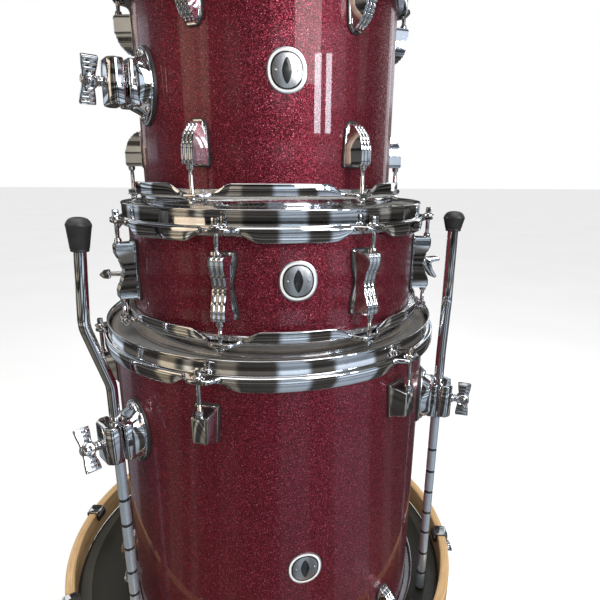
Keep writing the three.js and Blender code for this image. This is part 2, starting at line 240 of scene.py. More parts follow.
def box(low, high, bevel=0.8, look=0, corner=1):
    (x0, y0, z0), (x1, y1, z1) = low, high
    return prism(rectangle(y0, z0, y1, z1, corner), x0, x1, "yz", bevel, look)


def collar(inner, outer, low, high, corner, axis="z"):
    """A ring with a plain section."""
    return turned(rectangle(inner, low, outer, high, corner), 28, axis=axis)


def heading(path, i):
    """The direction of a path at one of its points."""
    return (path[min(i + 1, len(path) - 1)] - path[max(i - 1, 0)]).normalized()


def swept(path, radii, sides, looks=()):
    """A round rod along a path, with a radius for each point and, if any, a look for each stretch."""
    path = [Vector(p) for p in path]
    side = None
    sections = []
    for i, point in enumerate(path):
        along = heading(path, i)
        if side is None:
            side = along.orthogonal().normalized()
        side = (side - along * side.dot(along)).normalized()
        other = along.cross(side)
        ring = []
        for k in range(sides):
            a = 2 * math.pi * k / sides
            ring.append(point + (side * math.cos(a) + other * math.sin(a)) * radii[i])
        sections.append(ring)
    form = loft(sections)
    for band, look in enumerate(looks):
        form.looks[band * sides : (band + 1) * sides] = [look] * sides
    return form


def sheet_section(line, thickness, radius=2):
    """The closed section of a pressed sheet whose middle follows a line."""
    half = thickness / 2
    middle = [Vector(p) for p in rounded(line, radius, closed=False)]
    left, right = [], []
    for i, point in enumerate(middle):
        along = heading(middle, i)
        across = Vector((-along.y, along.x))
        left.append(point + across * half)
        right.append(point - across * half)
    out = []
    for row, before, end in ((left, *middle[-2:]), (right[::-1], middle[1], middle[0])):
        along = (end - before).normalized()
        across = row[-1] - end
        out += row
        out += [end + across * 0.7 + along * half * 0.7, end + along * half,
                end - across * 0.7 + along * half * 0.7]
    return [tuple(p) for p in out]


def oval(width, height, power, points=40):
    """A rounded oval outline. A higher power is squarer."""
    out = []
    for k in range(points):
        a = 2 * math.pi * k / points
        c, s = math.cos(a), math.sin(a)
        out.append((
            math.copysign(abs(c) ** (2 / power), c) * width / 2,
            math.copysign(abs(s) ** (2 / power), s) * height / 2,
        ))
    return out


def oval_dome(rings, points=40):
    """A loft through ovals, each given as x, width, height and power."""
    return loft([[(x, y, z) for y, z in oval(*shape, points)] for x, *shape in rings])


# ---- materials
class Nodes:
    """A node tree, with short ways to add to it."""

    def __init__(self, tree):
        self.tree = tree

    def node(self, kind, inputs=(), **settings):
        made = self.tree.nodes.new("ShaderNode" + kind)
        for key, value in settings.items():
            setattr(made, key, value)
        for key, value in dict(inputs).items():
            if isinstance(value, bpy.types.NodeSocket):
                self.tree.links.new(value, made.inputs[key])
            else:
                made.inputs[key].default_value = value
        return made

    def math(self, operation, a, b=0):
        return self.node("Math", {0: a, 1: b}, operation=operation).outputs[0]

    def axes(self, place):
        """The three parts of a vector."""
        return self.node("SeparateXYZ", {"Vector": place}).outputs

    def turn(self, axes):
        """The angle round the Z axis, from the -Y side."""
        return self.math("ARCTAN2", axes["X"], self.math("MULTIPLY", axes["Y"], -1))

    def ramp(self, value, *stops):
        """Colours, or greys given as one number, at positions from 0 to 1."""
        made = self.node("ValToRGB", {"Fac": value})
        elements = made.color_ramp.elements
        while len(elements) < len(stops):
            elements.new(0.5)
        for element, (position, colour) in zip(elements, stops):
            element.position = position
            element.color = (*colour, 1) if isinstance(colour, tuple) else (colour, colour, colour, 1)
        return made.outputs["Color"]

    def blend(self, factor, a, b, mode="MIX"):
        return self.node("Mix", {0: factor, 6: a, 7: b}, data_type="RGBA", blend_type=mode).outputs[2]

    def choose(self, test, otherwise, chosen):
        return self.node("MixShader", {0: test, 1: otherwise, 2: chosen}).outputs[0]


class Net(Nodes):
    """A material's node tree, around its Principled shader."""

    def __init__(self, name, **sockets):
        self.material = bpy.data.materials.new(name)
        self.material.use_nodes = True
        super().__init__(self.material.node_tree)
        self.shader = self.tree.nodes["Principled BSDF"]
        for key, value in sockets.items():
            self.shader.inputs[key.replace("_", " ")].default_value = value
        self.place = self.node("TexCoord").outputs["Object"]

    def set(self, socket, value):
        self.tree.links.new(value, self.shader.inputs[socket])

    def colour(self, value, *stops):
        self.set("Base Color", self.ramp(value, *stops))

    def roughness(self, value, *limits):
        self.set("Roughness", self.span(value, *limits))

    def noise(self, scale, detail=3, roughness=0.55, stretch=None, place=None):
        place = place or self.place
        if stretch:
            place = self.node("Mapping", {"Vector": place, "Scale": stretch}).outputs[0]
        inputs = {"Vector": place, "Scale": scale, "Detail": detail, "Roughness": roughness}
        return self.node("TexNoise", inputs).outputs["Fac"]

    def span(self, value, low, high, start=0, end=1):
        inputs = {"Value": value, "From Min": start, "From Max": end, "To Min": low, "To Max": high}
        return self.node("MapRange", inputs).outputs["Result"]

    def bump(self, height, strength, distance):
        inputs = {"Height": height, "Strength": strength, "Distance": distance}
        self.set("Normal", self.node("Bump", inputs).outputs["Normal"])

    def flakes(self, scale):
        """A colour for each cell of a fine mosaic, and its three parts."""
        inputs = {"Vector": self.place, "Scale": scale, "Randomness": 1}
        colour = self.node("TexVoronoi", inputs).outputs["Color"]
        return colour, self.node("SeparateColor", {"Color": colour}).outputs

    def vector(self, operation, *values, **named):
        inputs = {**dict(enumerate(values)), **named}
        return self.node("VectorMath", inputs, operation=operation).outputs[0]


def sparkle_look():
    """Wine red glitter under a clear gloss coat: each flake has its own tilt and brightness."""
    net = Net("sparkle_wrap", Metallic=0.7, Coat_Weight=0.55, Coat_Roughness=0.025, Coat_IOR=1.5)
    flake, parts = net.flakes(1450)
    _, fine = net.flakes(2900)
    lit = net.math("POWER", net.math("MULTIPLY", parts["Red"], fine["Red"]), 1.9)
    deep = net.ramp(net.noise(6, 2), (0.3, (0.068, 0.0034, 0.0074)), (0.7, (0.088, 0.0045, 0.0100)))
    colour = net.blend(lit, deep, (0.84, 0.090, 0.165, 1))
    rare = net.span(parts["Green"], 0, 0.5, 0.97, 0.985)
    net.set("Base Color", net.blend(rare, colour, (0.90, 0.34, 0.46, 1)))
    net.roughness(parts["Blue"], 0.26, 0.5)
    tilt = net.vector("SCALE", net.vector("SUBTRACT", flake, (0.5, 0.5, 0.5)), Scale=0.5)
    normal = net.node("NewGeometry").outputs["Normal"]
    net.set("Normal", net.vector("NORMALIZE", net.vector("ADD", normal, tilt)))
    return net.material


def chrome_look(name="chrome", shade=0.82, haze=0):
    """Mirror chrome with fine wipe marks and a little haze."""
    net = Net(name, Metallic=1)
    wipe = net.noise(38, 4, 0.6)
    fine = net.noise(420, 2, 0.5)
    dark = tuple(shade * k for k in (0.86, 0.86, 0.87))
    net.colour(wipe, (0.32, dark), (0.62, (shade, shade, shade * 1.012)))
    net.roughness(net.math("MULTIPLY", wipe, fine), 0.02 + haze, 0.09 + haze, 0.12, 0.42)
    return net.material


def wood_look(name, light, dark, radius, gloss):
    """Grain that runs round the axis of the bass drum."""
    net = Net(name, Coat_Weight=gloss, Coat_Roughness=0.12, Specular_IOR_Level=0.45)
    axes = net.axes(net.place)
    squares = [net.math("MULTIPLY", axes[axis], axes[axis]) for axis in "XY"]
    out = net.math("SQRT", net.math("ADD", *squares))
    along = net.math("MULTIPLY", net.turn(axes), radius)
    run = net.node("CombineXYZ", {"X": along, "Y": axes["Z"], "Z": out}).outputs[0]
    bands = net.noise(1, 5, 0.6, (5, 95, 95), run)
    fibre = net.noise(1, 3, 0.7, (26, 900, 900), run)
    middle = tuple(mix(a, b, 0.45) for a, b in zip(light, dark))
    tone = net.ramp(bands, (0.28, dark), (0.5, middle), (0.72, light))
    pores = net.ramp(fibre, (0.35, (0.62, 0.55, 0.48)), (0.55, (1, 1, 1)))
    net.set("Base Color", net.blend(0.8, tone, pores, "MULTIPLY"))
    net.roughness(fibre, 0.5, 0.32)
    net.bump(fibre, 0.12, 0.0004)
    return net.material


def film_look(name, light, dark, roughness, bump, **sockets):
    """A drum head's film, sprayed or plain, with faint handling marks."""
    net = Net(name, **sockets)
    cloud = net.noise(7, 5, 0.65)
    grit = net.noise(700, 2, 0.6)
    scuff = net.noise(60, 6, 0.75, (1, 3.5, 1))
    tone = net.ramp(cloud, (0.3, dark), (0.7, light))
    marks = net.ramp(scuff, (0.30, (0.82, 0.82, 0.80)), (0.45, (1, 1, 1)))
    net.set("Base Color", net.blend(0.7, tone, marks, "MULTIPLY"))
    net.roughness(grit, roughness - 0.1, roughness + 0.1, 0.3, 0.7)
    net.bump(grit, bump, 0.0003)
    return net.material


def rubber_look():
    """Moulded rubber, lighter in patches on what faces upwards."""
    net = Net("rubber", Specular_IOR_Level=0.55)
    cloud = net.noise(90, 4)
    grit = net.noise(1500, 2)
    rubber_tone = net.ramp(cloud, (0.3, (0.010, 0.010, 0.011)), (0.7, (0.024, 0.023, 0.023)))
    up = net.axes(net.node("NewGeometry").outputs["Normal"])["Z"]
    # lighter colour in patches where the surface faces upwards
    upward_patches = net.math("MULTIPLY", net.span(up, 0, 1, 0.2, 1), net.span(cloud, 0.35, 0.9, 0.3, 0.7))
    net.set("Base Color", net.blend(upward_patches, rubber_tone, (0.10, 0.098, 0.095, 1)))
    net.roughness(cloud, 0.32, 0.6)
    net.bump(grit, 0.25, 0.0002)
    return net.material


def enamel_look(name, colour, worn):
    """Glossy paint, a little uneven. Its dark versions also serve as painted shade in grooves, holes and
    slots.
    """
    net = Net(name, Coat_Weight=0.6, Coat_Roughness=0.08)
    cloud = net.noise(120, 4, 0.6)
    net.colour(cloud, (0.35, worn), (0.6, colour))
    net.roughness(cloud, 0.22, 0.4)
    return net.material


def brushed_look():
    """Steel with fine upright marks."""
    net = Net("brushed_steel", Metallic=1)
    streak = net.noise(1, 3, 0.7, (1900, 1900, 90))
    net.colour(streak, (0.3, (0.62, 0.62, 0.63)), (0.7, (0.80, 0.80, 0.80)))
    net.roughness(streak, 0.2, 0.42)
    return net.material


def satin_look():
    """Pale ground metal with marks round the rod."""
    net = Net("satin_rod", Metallic=0.8)
    turns = net.noise(1, 3, 0.7, (60, 60, 2600))
    net.colour(turns, (0.3, (0.52, 0.60, 0.68)), (0.7, (0.76, 0.85, 0.93)))
    net.roughness(turns, 0.22, 0.38)
    net.bump(turns, 0.15, 0.0001)
    return net.material


SPARKLE = sparkle_look()
CHROME = chrome_look()
STEEL = chrome_look("plain_steel", 0.55, 0.18)
PALE_RING = chrome_look("aluminium", 0.72, 0.22)
SATIN = satin_look()
MAPLE = wood_look("maple_hoop", (0.78, 0.54, 0.27), (0.58, 0.34, 0.14), 0.29, 0.6)
BARE_PLY = wood_look("maple_ply", (0.62, 0.42, 0.22), (0.44, 0.26, 0.12), 0.19, 0.12)
DARK_FILM = film_look("dark_head", (0.028, 0.027, 0.018), (0.017, 0.016, 0.011), 0.42, 0.05)
COATED = film_look("coated_head", (0.62, 0.61, 0.57), (0.54, 0.53, 0.49), 0.7, 0.35)
CLEAR = film_look("clear_head", (0.50, 0.50, 0.48), (0.40, 0.40, 0.38), 0.16, 0.02, Alpha=0.30)
DARK_RIM = film_look("dark_head_rim", (0.075, 0.076, 0.066), (0.05, 0.052, 0.045), 0.3, 0.02)
CLEAR_STRAP = film_look("snare_strap", (0.70, 0.71, 0.72), (0.60, 0.61, 0.62), 0.3, 0.02)
RUBBER = rubber_look()
# near-black enamel: painted shade in the leg grooves, and the colour of the bass heads' flesh hoops
GROOVE_SHADE_AND_DARK_HOOP = enamel_look("groove_paint", (0.010, 0.010, 0.011), (0.022, 0.021, 0.021))
# black enamel: the badge's own black, and painted shade in holes, screw slots and recesses
BLACK_AND_RECESS_SHADE = enamel_look("black_enamel", (0.006, 0.006, 0.007), (0.02, 0.02, 0.02))
WHITE = enamel_look("white_enamel", (0.74, 0.74, 0.74), (0.62, 0.62, 0.61))
BRUSHED = brushed_look()
CAST = [CHROME, RUBBER, BLACK_AND_RECESS_SHADE]  # a fitting, its gasket, and black that is painted shade in its holes and slots


# ---- pieces
def add_object(name, data):
    made = bpy.data.objects.new(name, data)
    bpy.context.scene.collection.objects.link(made)
    return made


def piece(name, form, looks, body, matrix, slot=None, replaces=None, sharp=36):
    """Makes a mesh in the object's frame. It rides on a body, or on none."""
    form = joined(form).moved(matrix)
    mesh = bpy.data.meshes.new(name)
    mesh.from_pydata([p * MM for p in form.points], [], form.faces)
    for look in looks if isinstance(looks, list) else [looks]:
        mesh.materials.append(look)
    mesh.polygons.foreach_set("material_index", form.looks)
    work = bmesh.new()
    work.from_mesh(mesh)
    bmesh.ops.recalc_face_normals(work, faces=work.faces)
    work.to_mesh(mesh)
    work.free()
    mesh.polygons.foreach_set("use_smooth", form.smooth)
    mesh.set_sharp_from_angle(angle=math.radians(sharp))
    mesh.update()
    made = add_object(name, mesh)
    if body:
        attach(made, body)
    if replaces:
        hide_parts(replaces)
    return made


def stand_in(node, ending, form, looks, body, matrix, slot="chrome", sharp=36):
    """A detailed piece that stands for a CAD node."""
    return piece(f"{node}_{ending}", form, looks, body, matrix, slot, node, sharp)


class Drum:
    def __init__(self, name, radius, depth, wall, angle, centre, level, rods, body):
        self.name, self.radius, self.depth, self.wall = name, radius, depth, wall
        self.rods, self.body = rods, body
        self.matrix = shift(*centre, level) @ spin(angle, "Z")

    def rod_angles(self):
        return [360 / self.rods * (i + 0.5) for i in range(self.rods)]

    def edge(self, side):
        """The level of the shell's upper edge (side 1) or lower edge (side -1)."""
        return self.depth if side > 0 else 0

    def on_shell(self, angle, level, flipped=False, out=0):
        """A frame on the shell or out from it. A flipped one is turned upside down about its X axis."""
        a = math.radians(angle)
        spot = shift(self.radius * math.sin(a), -self.radius * math.cos(a), level)
        matrix = self.matrix @ spot @ Matrix.Rotation(a - math.pi / 2, 4, "Z")
        if flipped:
            matrix = matrix @ spin(180, "X")
        return matrix @ shift(out, 0, 0)


INCH = 25.4
STEP_UP = 11.6  # from a drum's upper edge to the lower edge of the one on it
BASS_LEVEL = 36
BASS = Drum("bass", 280, 18 * INCH, 8, -7.6, (0, 0), BASS_LEVEL, 10, "bass_drum")
FLOOR_LEVEL = BASS_LEVEL + BASS.depth + STEP_UP
FLOOR_TOM = Drum("floor_tom", 204, 16 * INCH, 6, 12.1, (18.7, -39.6), FLOOR_LEVEL, 6, "floor_tom")
SNARE_LEVEL = FLOOR_LEVEL + FLOOR_TOM.depth + STEP_UP
SNARE = Drum("snare", 178.5, 5 * INCH, 6, 7.25, (22.4, -42.6), SNARE_LEVEL, 8, "snare_drum")
RACK_LEVEL = SNARE_LEVEL + SNARE.depth + STEP_UP
RACK_TOM = Drum("rack_tom", 153, 9 * INCH, 6, 4.6, (16.8, -33.5), RACK_LEVEL, 6, "rack_tom")

ROUND = 180  # facets round a drum
ROD_OUT = 16.75  # a steel hoop's rods, out from the shell
BASS_ROD_OUT = 25.5
ROD_RADIUS = 2.35
THREAD_LENGTH, THREAD_PITCH, THREAD_DEPTH = 16, 1.1, 0.35
SEAM_WIDTH = 16  # of the wrap's overlap


# ---- shells and heads
def shell(drum):
    """A tube of ply with bearing edges, in a wrap that overlaps at the back."""
    r, depth = drum.radius, drum.depth
    edge = [(r, 1.6), (r - 0.5, 1.2), (r - 0.5, 0.6), (r - 1.4, 0), (r - 2.2, 0.3), (r - drum.wall, 4.6)]
    profile = edge[:1] + [(radius, depth - z) for radius, z in edge] + edge[:0:-1]
    form = turned(profile, ROUND, looks=[0] + [1] * (len(profile) - 1))
    half = SEAM_WIDTH / 2 / r
    seam = []
    for k in range(9):
        a = math.pi + mix(-half, half, k / 8)
        rise = 0.35 if 0 < k < 8 else 0.02
        seam.append([
            ((r + out) * math.sin(a), -(r + out) * math.cos(a), z)
            for out, z in ((-0.3, 2), (rise, 2), (rise, depth - 2), (-0.3, depth - 2))
        ])
    form.join(loft(seam))
    piece(f"{drum.name}_wrapped_shell", form, [SPARKLE, BARE_PLY], drum.body, drum.matrix,
          "sparkle_wrap", f"{drum.name}_shell")


def head(drum, side, role, film, slot, rim, hoop_look=PALE_RING, hoop_top=-8.9):
    """A film with its collar, and the flesh hoop that holds it."""
    r, top = drum.radius, hoop_top
    profile = [
        (0, 1.3), (r * 0.5, 1.3), (r - 13, 1.3), (r - 12.4, 1.18), (r - 2, 1.1), (r + 1.4, 0.6),
        (r + 2.8, -1), (r + 3.1, top), (r + 6.6, top), (r + 7.5, top - 0.9), (r + 7.5, -14.2),
        (r + 6.8, -14.9), (r + 1, -14.9), (r + 0.5, -14.2), (r + 0.5, -0.6), (r - 1, 0.35), (0, 0.35),
    ]
    looks = [0, 0, 0, 1, 1, 1, 1, 2, 2, 2, 2, 2, 2, 1, 1, 0]
    form = turned(profile, ROUND, looks=looks)
    matrix = drum.matrix @ shift(0, 0, drum.edge(side)) @ spin(0 if side > 0 else 180, "X")
    stand_in(f"{drum.name}_{role}_head", "film", form, [film, rim, hoop_look], drum.body, matrix, slot)


# ---- hoops
HOOP_LIP, HOOP_SHELF, HOOP_SKIRT = 10, -7.15, -20.7  # its top, the middle of its flat part, its low edge
HOOP_SHEET = 2.2
HOOP_NECK, HOOP_RIM = 4.85, 9.9  # the neck and the skirt, out from the shell
HOOP_EAR = 11  # an ear, out from the skirt
HOOP_SECTIONS = 432
GATE_INNER, GATE_OUTER = 21.5, 25.5  # half the width of a gate at its bottom and its top


def hoop_line(r, near, gate):
    """The middle of a pressed hoop's sheet, near a rod or away from it, at a snare gate or not."""
    ear = 1 - ease(near, 8.5, 21)
    skirt = ease(near, 13, 40)
    reach = r + HOOP_RIM + HOOP_EAR * ear
    low = mix(-9.6, HOOP_SKIRT + HOOP_SHEET / 2, skirt)
    lean = mix(reach, r + HOOP_RIM, ease(near, 8, 30))
    top = mix(HOOP_LIP - HOOP_SHEET / 2, -3.4, gate)
    neck = r + HOOP_NECK
    bend = (neck, top - 2.4 * (1 - 0.7 * gate))
    return [(r + 5.6, top), bend, (neck, HOOP_SHELF), (reach, HOOP_SHELF), (lean, low)]


def nearest(degrees, angles, radius):
    """How far it is round a circle to the nearest of some angles."""
    return min(math.radians(abs((degrees - angle + 180) % 360 - 180)) * radius for angle in angles)


def steel_hoop(drum, side, role, gates=()):
    """A pressed hoop: a lip, an ear at each rod, a skirt between them, and gates for the snare straps."""
    r, sections = drum.radius, []
    for i in range(HOOP_SECTIONS):
        degrees = 360 * i / HOOP_SECTIONS
        near = nearest(degrees, drum.rod_angles(), r + ROD_OUT)
        gate = 1 - ease(nearest(degrees, gates, r + 5), GATE_INNER, GATE_OUTER) if gates else 0
        a = math.radians(degrees)
        section = sheet_section(hoop_line(r, near, gate), HOOP_SHEET, 1.9)
        sections.append([(u * math.sin(a), -u * math.cos(a), v * side) for u, v in section])
    form = loft(sections + sections[:1], ends=False)
    matrix = drum.matrix @ shift(0, 0, drum.edge(side))
    made = stand_in(f"{drum.name}_{role}_hoop", "pressed", form, CHROME, drum.body, matrix, sharp=60)
    # the first and the last section of the closed loft are joined
    work = bmesh.new()
    work.from_mesh(made.data)
    bmesh.ops.remove_doubles(work, verts=work.verts, dist=1e-7)
    bmesh.ops.recalc_face_normals(work, faces=work.faces)
    work.to_mesh(made.data)
    work.free()


def wood_hoop(side, role):
    """A bass drum hoop. The lower one stands on the floor."""
    r = BASS.radius
    profile = rectangle(r + 6, -2, r + 19, BASS_LEVEL, 3, steps=4)
    form = turned([(u, v * side) for u, v in profile], ROUND)
    matrix = BASS.matrix @ shift(0, 0, BASS.edge(side))
    stand_in(f"bass_{role}_hoop", "maple", form, MAPLE, "bass_drum", matrix, "maple_hoop")


# ---- rods
def key_head(base, height):
    """A flat washer, a flange and a square key head, standing on base."""
    washer = collar(ROD_RADIUS, 6.7, base, base + 1.3, 0.4)
    rim = [(0, base + 1), (4.9, base + 1.35), (4.9, base + 2.1), (4.2, base + 2.7), (0, base + 2.7)]
    square = rectangle(-3.1, -3.1, 3.1, 3.1, 0.7)
    return joined(washer, turned(rim, 24), prism(square, base + 2.4, base + 2.4 + height, "xy", 0.7))


def rod_stem(top, end):
    """The rod below its head, with its thread where it meets the lug."""
    profile = [(0, top), (ROD_RADIUS, top)]
    for k in range(int(THREAD_LENGTH / THREAD_PITCH)):
        z = end + THREAD_LENGTH - THREAD_PITCH * k
        profile += [(ROD_RADIUS, z), (ROD_RADIUS - THREAD_DEPTH, z - THREAD_PITCH / 2)]
    profile += [(ROD_RADIUS - 0.3, end), (0, end)]
    return turned(profile, 14)


def round_drum(drum, label, form, looks, side, level, out=0):
    """A piece at each rod of a drum. On side -1 it is upside down."""
    for i, angle in enumerate(drum.rod_angles()):
        matrix = drum.on_shell(angle, level, side < 0, out)
        piece(f"{drum.name}_{label}_{i + 1}", form, looks, drum.body, matrix, "chrome")


def tension_rods(drum, low_gap, high_gap):
    """One rod for each ear of both hoops, over the gap from the shell's edge to the lug's end."""
    for side, label, gap, head_height in ((-1, "lower", low_gap, 4.4), (1, "upper", high_gap, 7)):
        form = joined(key_head(-6, head_height), rod_stem(-4.4, -gap - 6))
        round_drum(drum, f"{label}_tension_rod", form, CHROME, side, drum.edge(side), ROD_OUT)


# ---- lugs
def plate_on_gasket(outline, thickness=3.2, frame_width=1.6):
    """A framed chrome plate on a rubber gasket that lies on the shell."""
    gasket = prism(inset(outline, -1.1), -1, 1.4, "yz", 0.4, look=1)
    plate = prism(outline, 1.2, thickness - 0.8, "yz", 0.5)
    step = prism(inset(outline, frame_width), thickness - 1.2, thickness + 0.3, "yz", 0.5)
    return joined(gasket, plate, step)


def fluted(front, width, strength, spread, rows=40):
    """A lug's body. Its front is a curve of (x, z) points with three ribs along it, and its sides run
    back to its base. width and spread say how wide its front and its base are at a share of the curve.
    strength says how high the ribs are, from that share and the length so far."""
    base, columns, ribs = 2.4, 25, 3
    line = [Vector(p) for p in rounded(front, 1.6, closed=False, steps=4)]
    lengths = [0]
    for a, b in zip(line, line[1:]):
        lengths.append(lengths[-1] + (b - a).length)
    total, samples = lengths[-1], []
    for i in range(rows):
        want = total * i / (rows - 1)
        k = max(j for j in range(len(line) - 1) if lengths[j] <= want + FLAT)
        t = (want - lengths[k]) / max(FLAT, lengths[k + 1] - lengths[k])
        along = (line[k + 1] - line[k]).normalized()
        samples.append((line[k].lerp(line[k + 1], min(1, t)), Vector((-along.y, along.x)), want))
    if samples[rows // 2][1].x < 0:
        samples = [(p, -n, s) for p, n, s in samples]
    points = []
    for i, (point, outward, gone) in enumerate(samples):
        share = i / (rows - 1)
        for k in range(columns):
            u = k / (columns - 1)
            wave = 0.5 - 0.5 * math.cos(2 * math.pi * ribs * u)
            lift = strength(share, gone) * wave if 0 < i < rows - 1 else 0
            spot = point + outward * lift
            points.append((spot.x, (u - 0.5) * width(share), spot.y))
    start = len(points)
    for i, (point, _, _) in enumerate(samples):
        half = spread(i / (rows - 1)) / 2
        points += [(base, -half, point.y), (base, half, point.y)]
    sides, ends = [], []
    for i in range(rows - 1):
        here, below = start + 2 * i, start + 2 * i + 2
        sides.append([i * columns, (i + 1) * columns, below, here])
        sides.append([i * columns + columns - 1, here + 1, below + 1, (i + 1) * columns + columns - 1])
        sides.append([here, below, below + 1, here + 1])
    for row in (0, rows - 1):
        ends.append([start + 2 * row, *range(row * columns, (row + 1) * columns), start + 2 * row + 1])
    return Form(points).cover(quads(rows, columns, False) + sides).cover(ends, smooth=False)


def swivel_nut(out, base=0, length=5):
    """The nut that takes a rod, at a lug's open end."""
    end = base + length
    profile = [(0, base - 2), (3.9, base - 2), (4, base + length * 0.55), (3.3, end), (0, end)]
    return turned(profile, 20).at(out, 0, 0)


def arch_lug(size=1, out=ROD_OUT):
    """A ribbed lug that curves back to the shell. Its rod end is at z = 0 and the rest is below."""
    front = [(19.6, 0, 0), (21.4, -2.2), (21.4, -17, 9), (17.4, -29, 14), (10, -37.2, 12), (2.8, -40.2, 0)]
    stretch = (out + 4.6) / 21.4
    plain = 19 * size  # the length before the ribs are notched

    def strength(share, gone):
        return 1.25 * abs(math.cos(math.pi * max(0, gone - plain) / (4.4 * size))) ** 0.7

    line = [(x * stretch, z * size, *rest) for x, z, *rest in front]
    body = fluted(line, lambda t: mix(13.8, 12.4, t), strength, lambda t: mix(21.5, 12.6, ease(t, 0.3, 1)))
    plate = rounded([(-12, 1.4), (12, 1.4), (9.6, -36 * size), (5.4, -42 * size), (-5.4, -42 * size),
                     (-9.6, -36 * size)], 2.6)
    return joined(plate_on_gasket(plate), body, swivel_nut(out))


def box_lug():
    """A smooth tapered lug. Its rod end is open on the real lug and here is a dark sheet of painted shade. It
    narrows away from the shell and down from the rod.
    """
    def ring(x, top_half, low_half, top, low, corner=1.6):
        corners = [(-low_half, low), (low_half, low), (top_half, top), (-top_half, top)]
        return [(x, y, z) for y, z in rounded(corners, corner)]

    front = 20.6
    body = loft([
        ring(2.4, 12, 9.8, 0, -37), ring(front - 1.6, 8.8, 7.9, -3.6, -31.8),
        ring(front - 0.5, 8.4, 7.5, -3.9, -31.4), ring(front, 7.4, 6.5, -4.9, -30.4),
    ])
    # painted shade: a thin black plate stands for the dark inside of the open end
    mouth = rounded([(4.6, -9.6), (18, -7), (18, 7), (4.6, 9.6)], 1.4, steps=2)
    mouth = prism(mouth, -0.5, 0.25, "xy", 0.15, look=2)
    for p in mouth.points:  # lies on the sloped end
        p.z -= 3.7 * (p.x - 2.4) / (front - 4)
    plate = rounded([(-13.2, 1.6), (13.2, 1.6), (10.4, -38.6), (-10.4, -38.6)], 2.4)
    return joined(plate_on_gasket(plate), body, mouth, swivel_nut(ROD_OUT, -2.5, 6))


def snare_lug():
    """A waisted lug with a rod at each end and ribs on its lower half."""
    front = [(19.4, 31, 0), (21.2, 28.6), (21.2, 21, 6), (15.6, 8, 8), (14.2, 0, 8), (15.6, -8, 8),
             (21.2, -21, 6), (21.2, -28.6), (19.4, -31, 0)]

    def strength(share, gone):
        bend = min(abs(share - spot) for spot in (0.30, 0.47, 0.57, 0.72))
        return 1.15 * ease(abs(share - 0.5), 0, 0.05) * (0.25 + 0.75 * ease(bend, 0.008, 0.02))

    body = fluted(front, lambda t: 14.5, strength, lambda t: 15.4 + 6.6 * abs(2 * t - 1) ** 1.6, rows=56)
    half = [(12.8, 33), (11.6, 18, 6), (8.6, 4, 6), (8.6, -4, 6), (11.6, -18, 6), (12.8, -33)]
    plate = rounded(mirrored(half), 2.4)
    nut = swivel_nut(ROD_OUT, 31)
    return joined(plate_on_gasket(plate), body, nut, joined(nut).turned_about("X", 180))


# ---- badges
def wrapped(form, drum):
    """Bends a form on a flat shell frame round the drum."""
    for p in form.points:
        turn, out = p.y / drum.radius, drum.radius + p.x
        p.x, p.y = out * math.cos(turn) - drum.radius, out * math.sin(turn)
    return form


def badge(drum, angle, level):
    """A plain oval plate with an enamel ring and a dark lozenge, held by two pins."""
    width, height = 38, 40
    form = Form()
    layers = ((0, -0.6, 0.9, 0), (2.4, 0.6, 1.1, 1), (7, 0.9, 1.25, 2), (10, 1, 1.4, 0))
    for less, low, high, look in layers:
        form.join(prism(oval(width - less, height - less, 2.2, 48), low, high, "yz", 0.14, look))
    form.join(prism(oval(9.5, height - 17, 1.5), 1.2, 1.65, "yz", 0.14, 2))
    for side in (-1, 1):
        pin = turned([(0, 0.8), (1.2, 0.8), (1.2, 1.5), (0.7, 1.9), (0, 2)], 16, axis="x")
        form.join(pin.at(0, side * (width / 2 - 8.5), 0))
    matrix = drum.on_shell(angle, level, drum is FLOOR_TOM)  # the floor tom stands upside down
    piece(f"{drum.name}_badge", wrapped(form, drum), [BRUSHED, WHITE, BLACK_AND_RECESS_SHADE], drum.body, matrix)


def vent(drum, angle, level):
    """The grommet of the air vent, with a black disc of painted shade for the hole in it."""
    ring = rounded([(3.4, -8), (4.8, -8), (4.8, 0.3), (8, 0.3), (8, 1.5), (3.4, 2.2)], 0.7, steps=2)
    form = turned(ring, 32, axis="x")
    # painted shade: a black disc stands for the dark of the vent hole
    form.join(disc(3.45, 0.2, 0.8, 20, 1, "x"))
    matrix = drum.on_shell(angle, level)
    piece(f"{drum.name}_vent_grommet", form, [CHROME, BLACK_AND_RECESS_SHADE], drum.body, matrix, "chrome")


# ---- rod clamps
ROD_AXIS, ROD_BORE = 24.5, 6.2
BODY_FACE, JAW_IN, JAW_OUT = 23.2, 26, 42
CLAMP_HALF = 22


def groove_from(face, side):
    """Plan points of the groove that a rod lies in: side is -1 in the body and 1 in the jaw."""
    reach = math.degrees(math.acos(abs(face - ROD_AXIS) / ROD_BORE))
    middle, out = (180 if side < 0 else 0), []
    for k in range(9):
        a = math.radians(mix(middle - reach, middle + reach, k / 8))
        out.append((ROD_AXIS + ROD_BORE * math.cos(a), ROD_BORE * math.sin(a), 0))
    return out


def clamp_screw(z):
    """A domed slotted screw on the clamp's plate."""
    dome = turned([(0, 2.4), (4.1, 2.6), (4.1, 3.8), (3.2, 5.2), (1.6, 5.9), (0, 6)], 24, axis="x")
    # painted shade: the slot is a black bar through the dome's top, not a cut
    slot = box((4.6, -0.5, -3), (6.15, 0.5, 3), 0.1, 2, 0.1)
    return joined(dome, slot).at(0, 0, z)


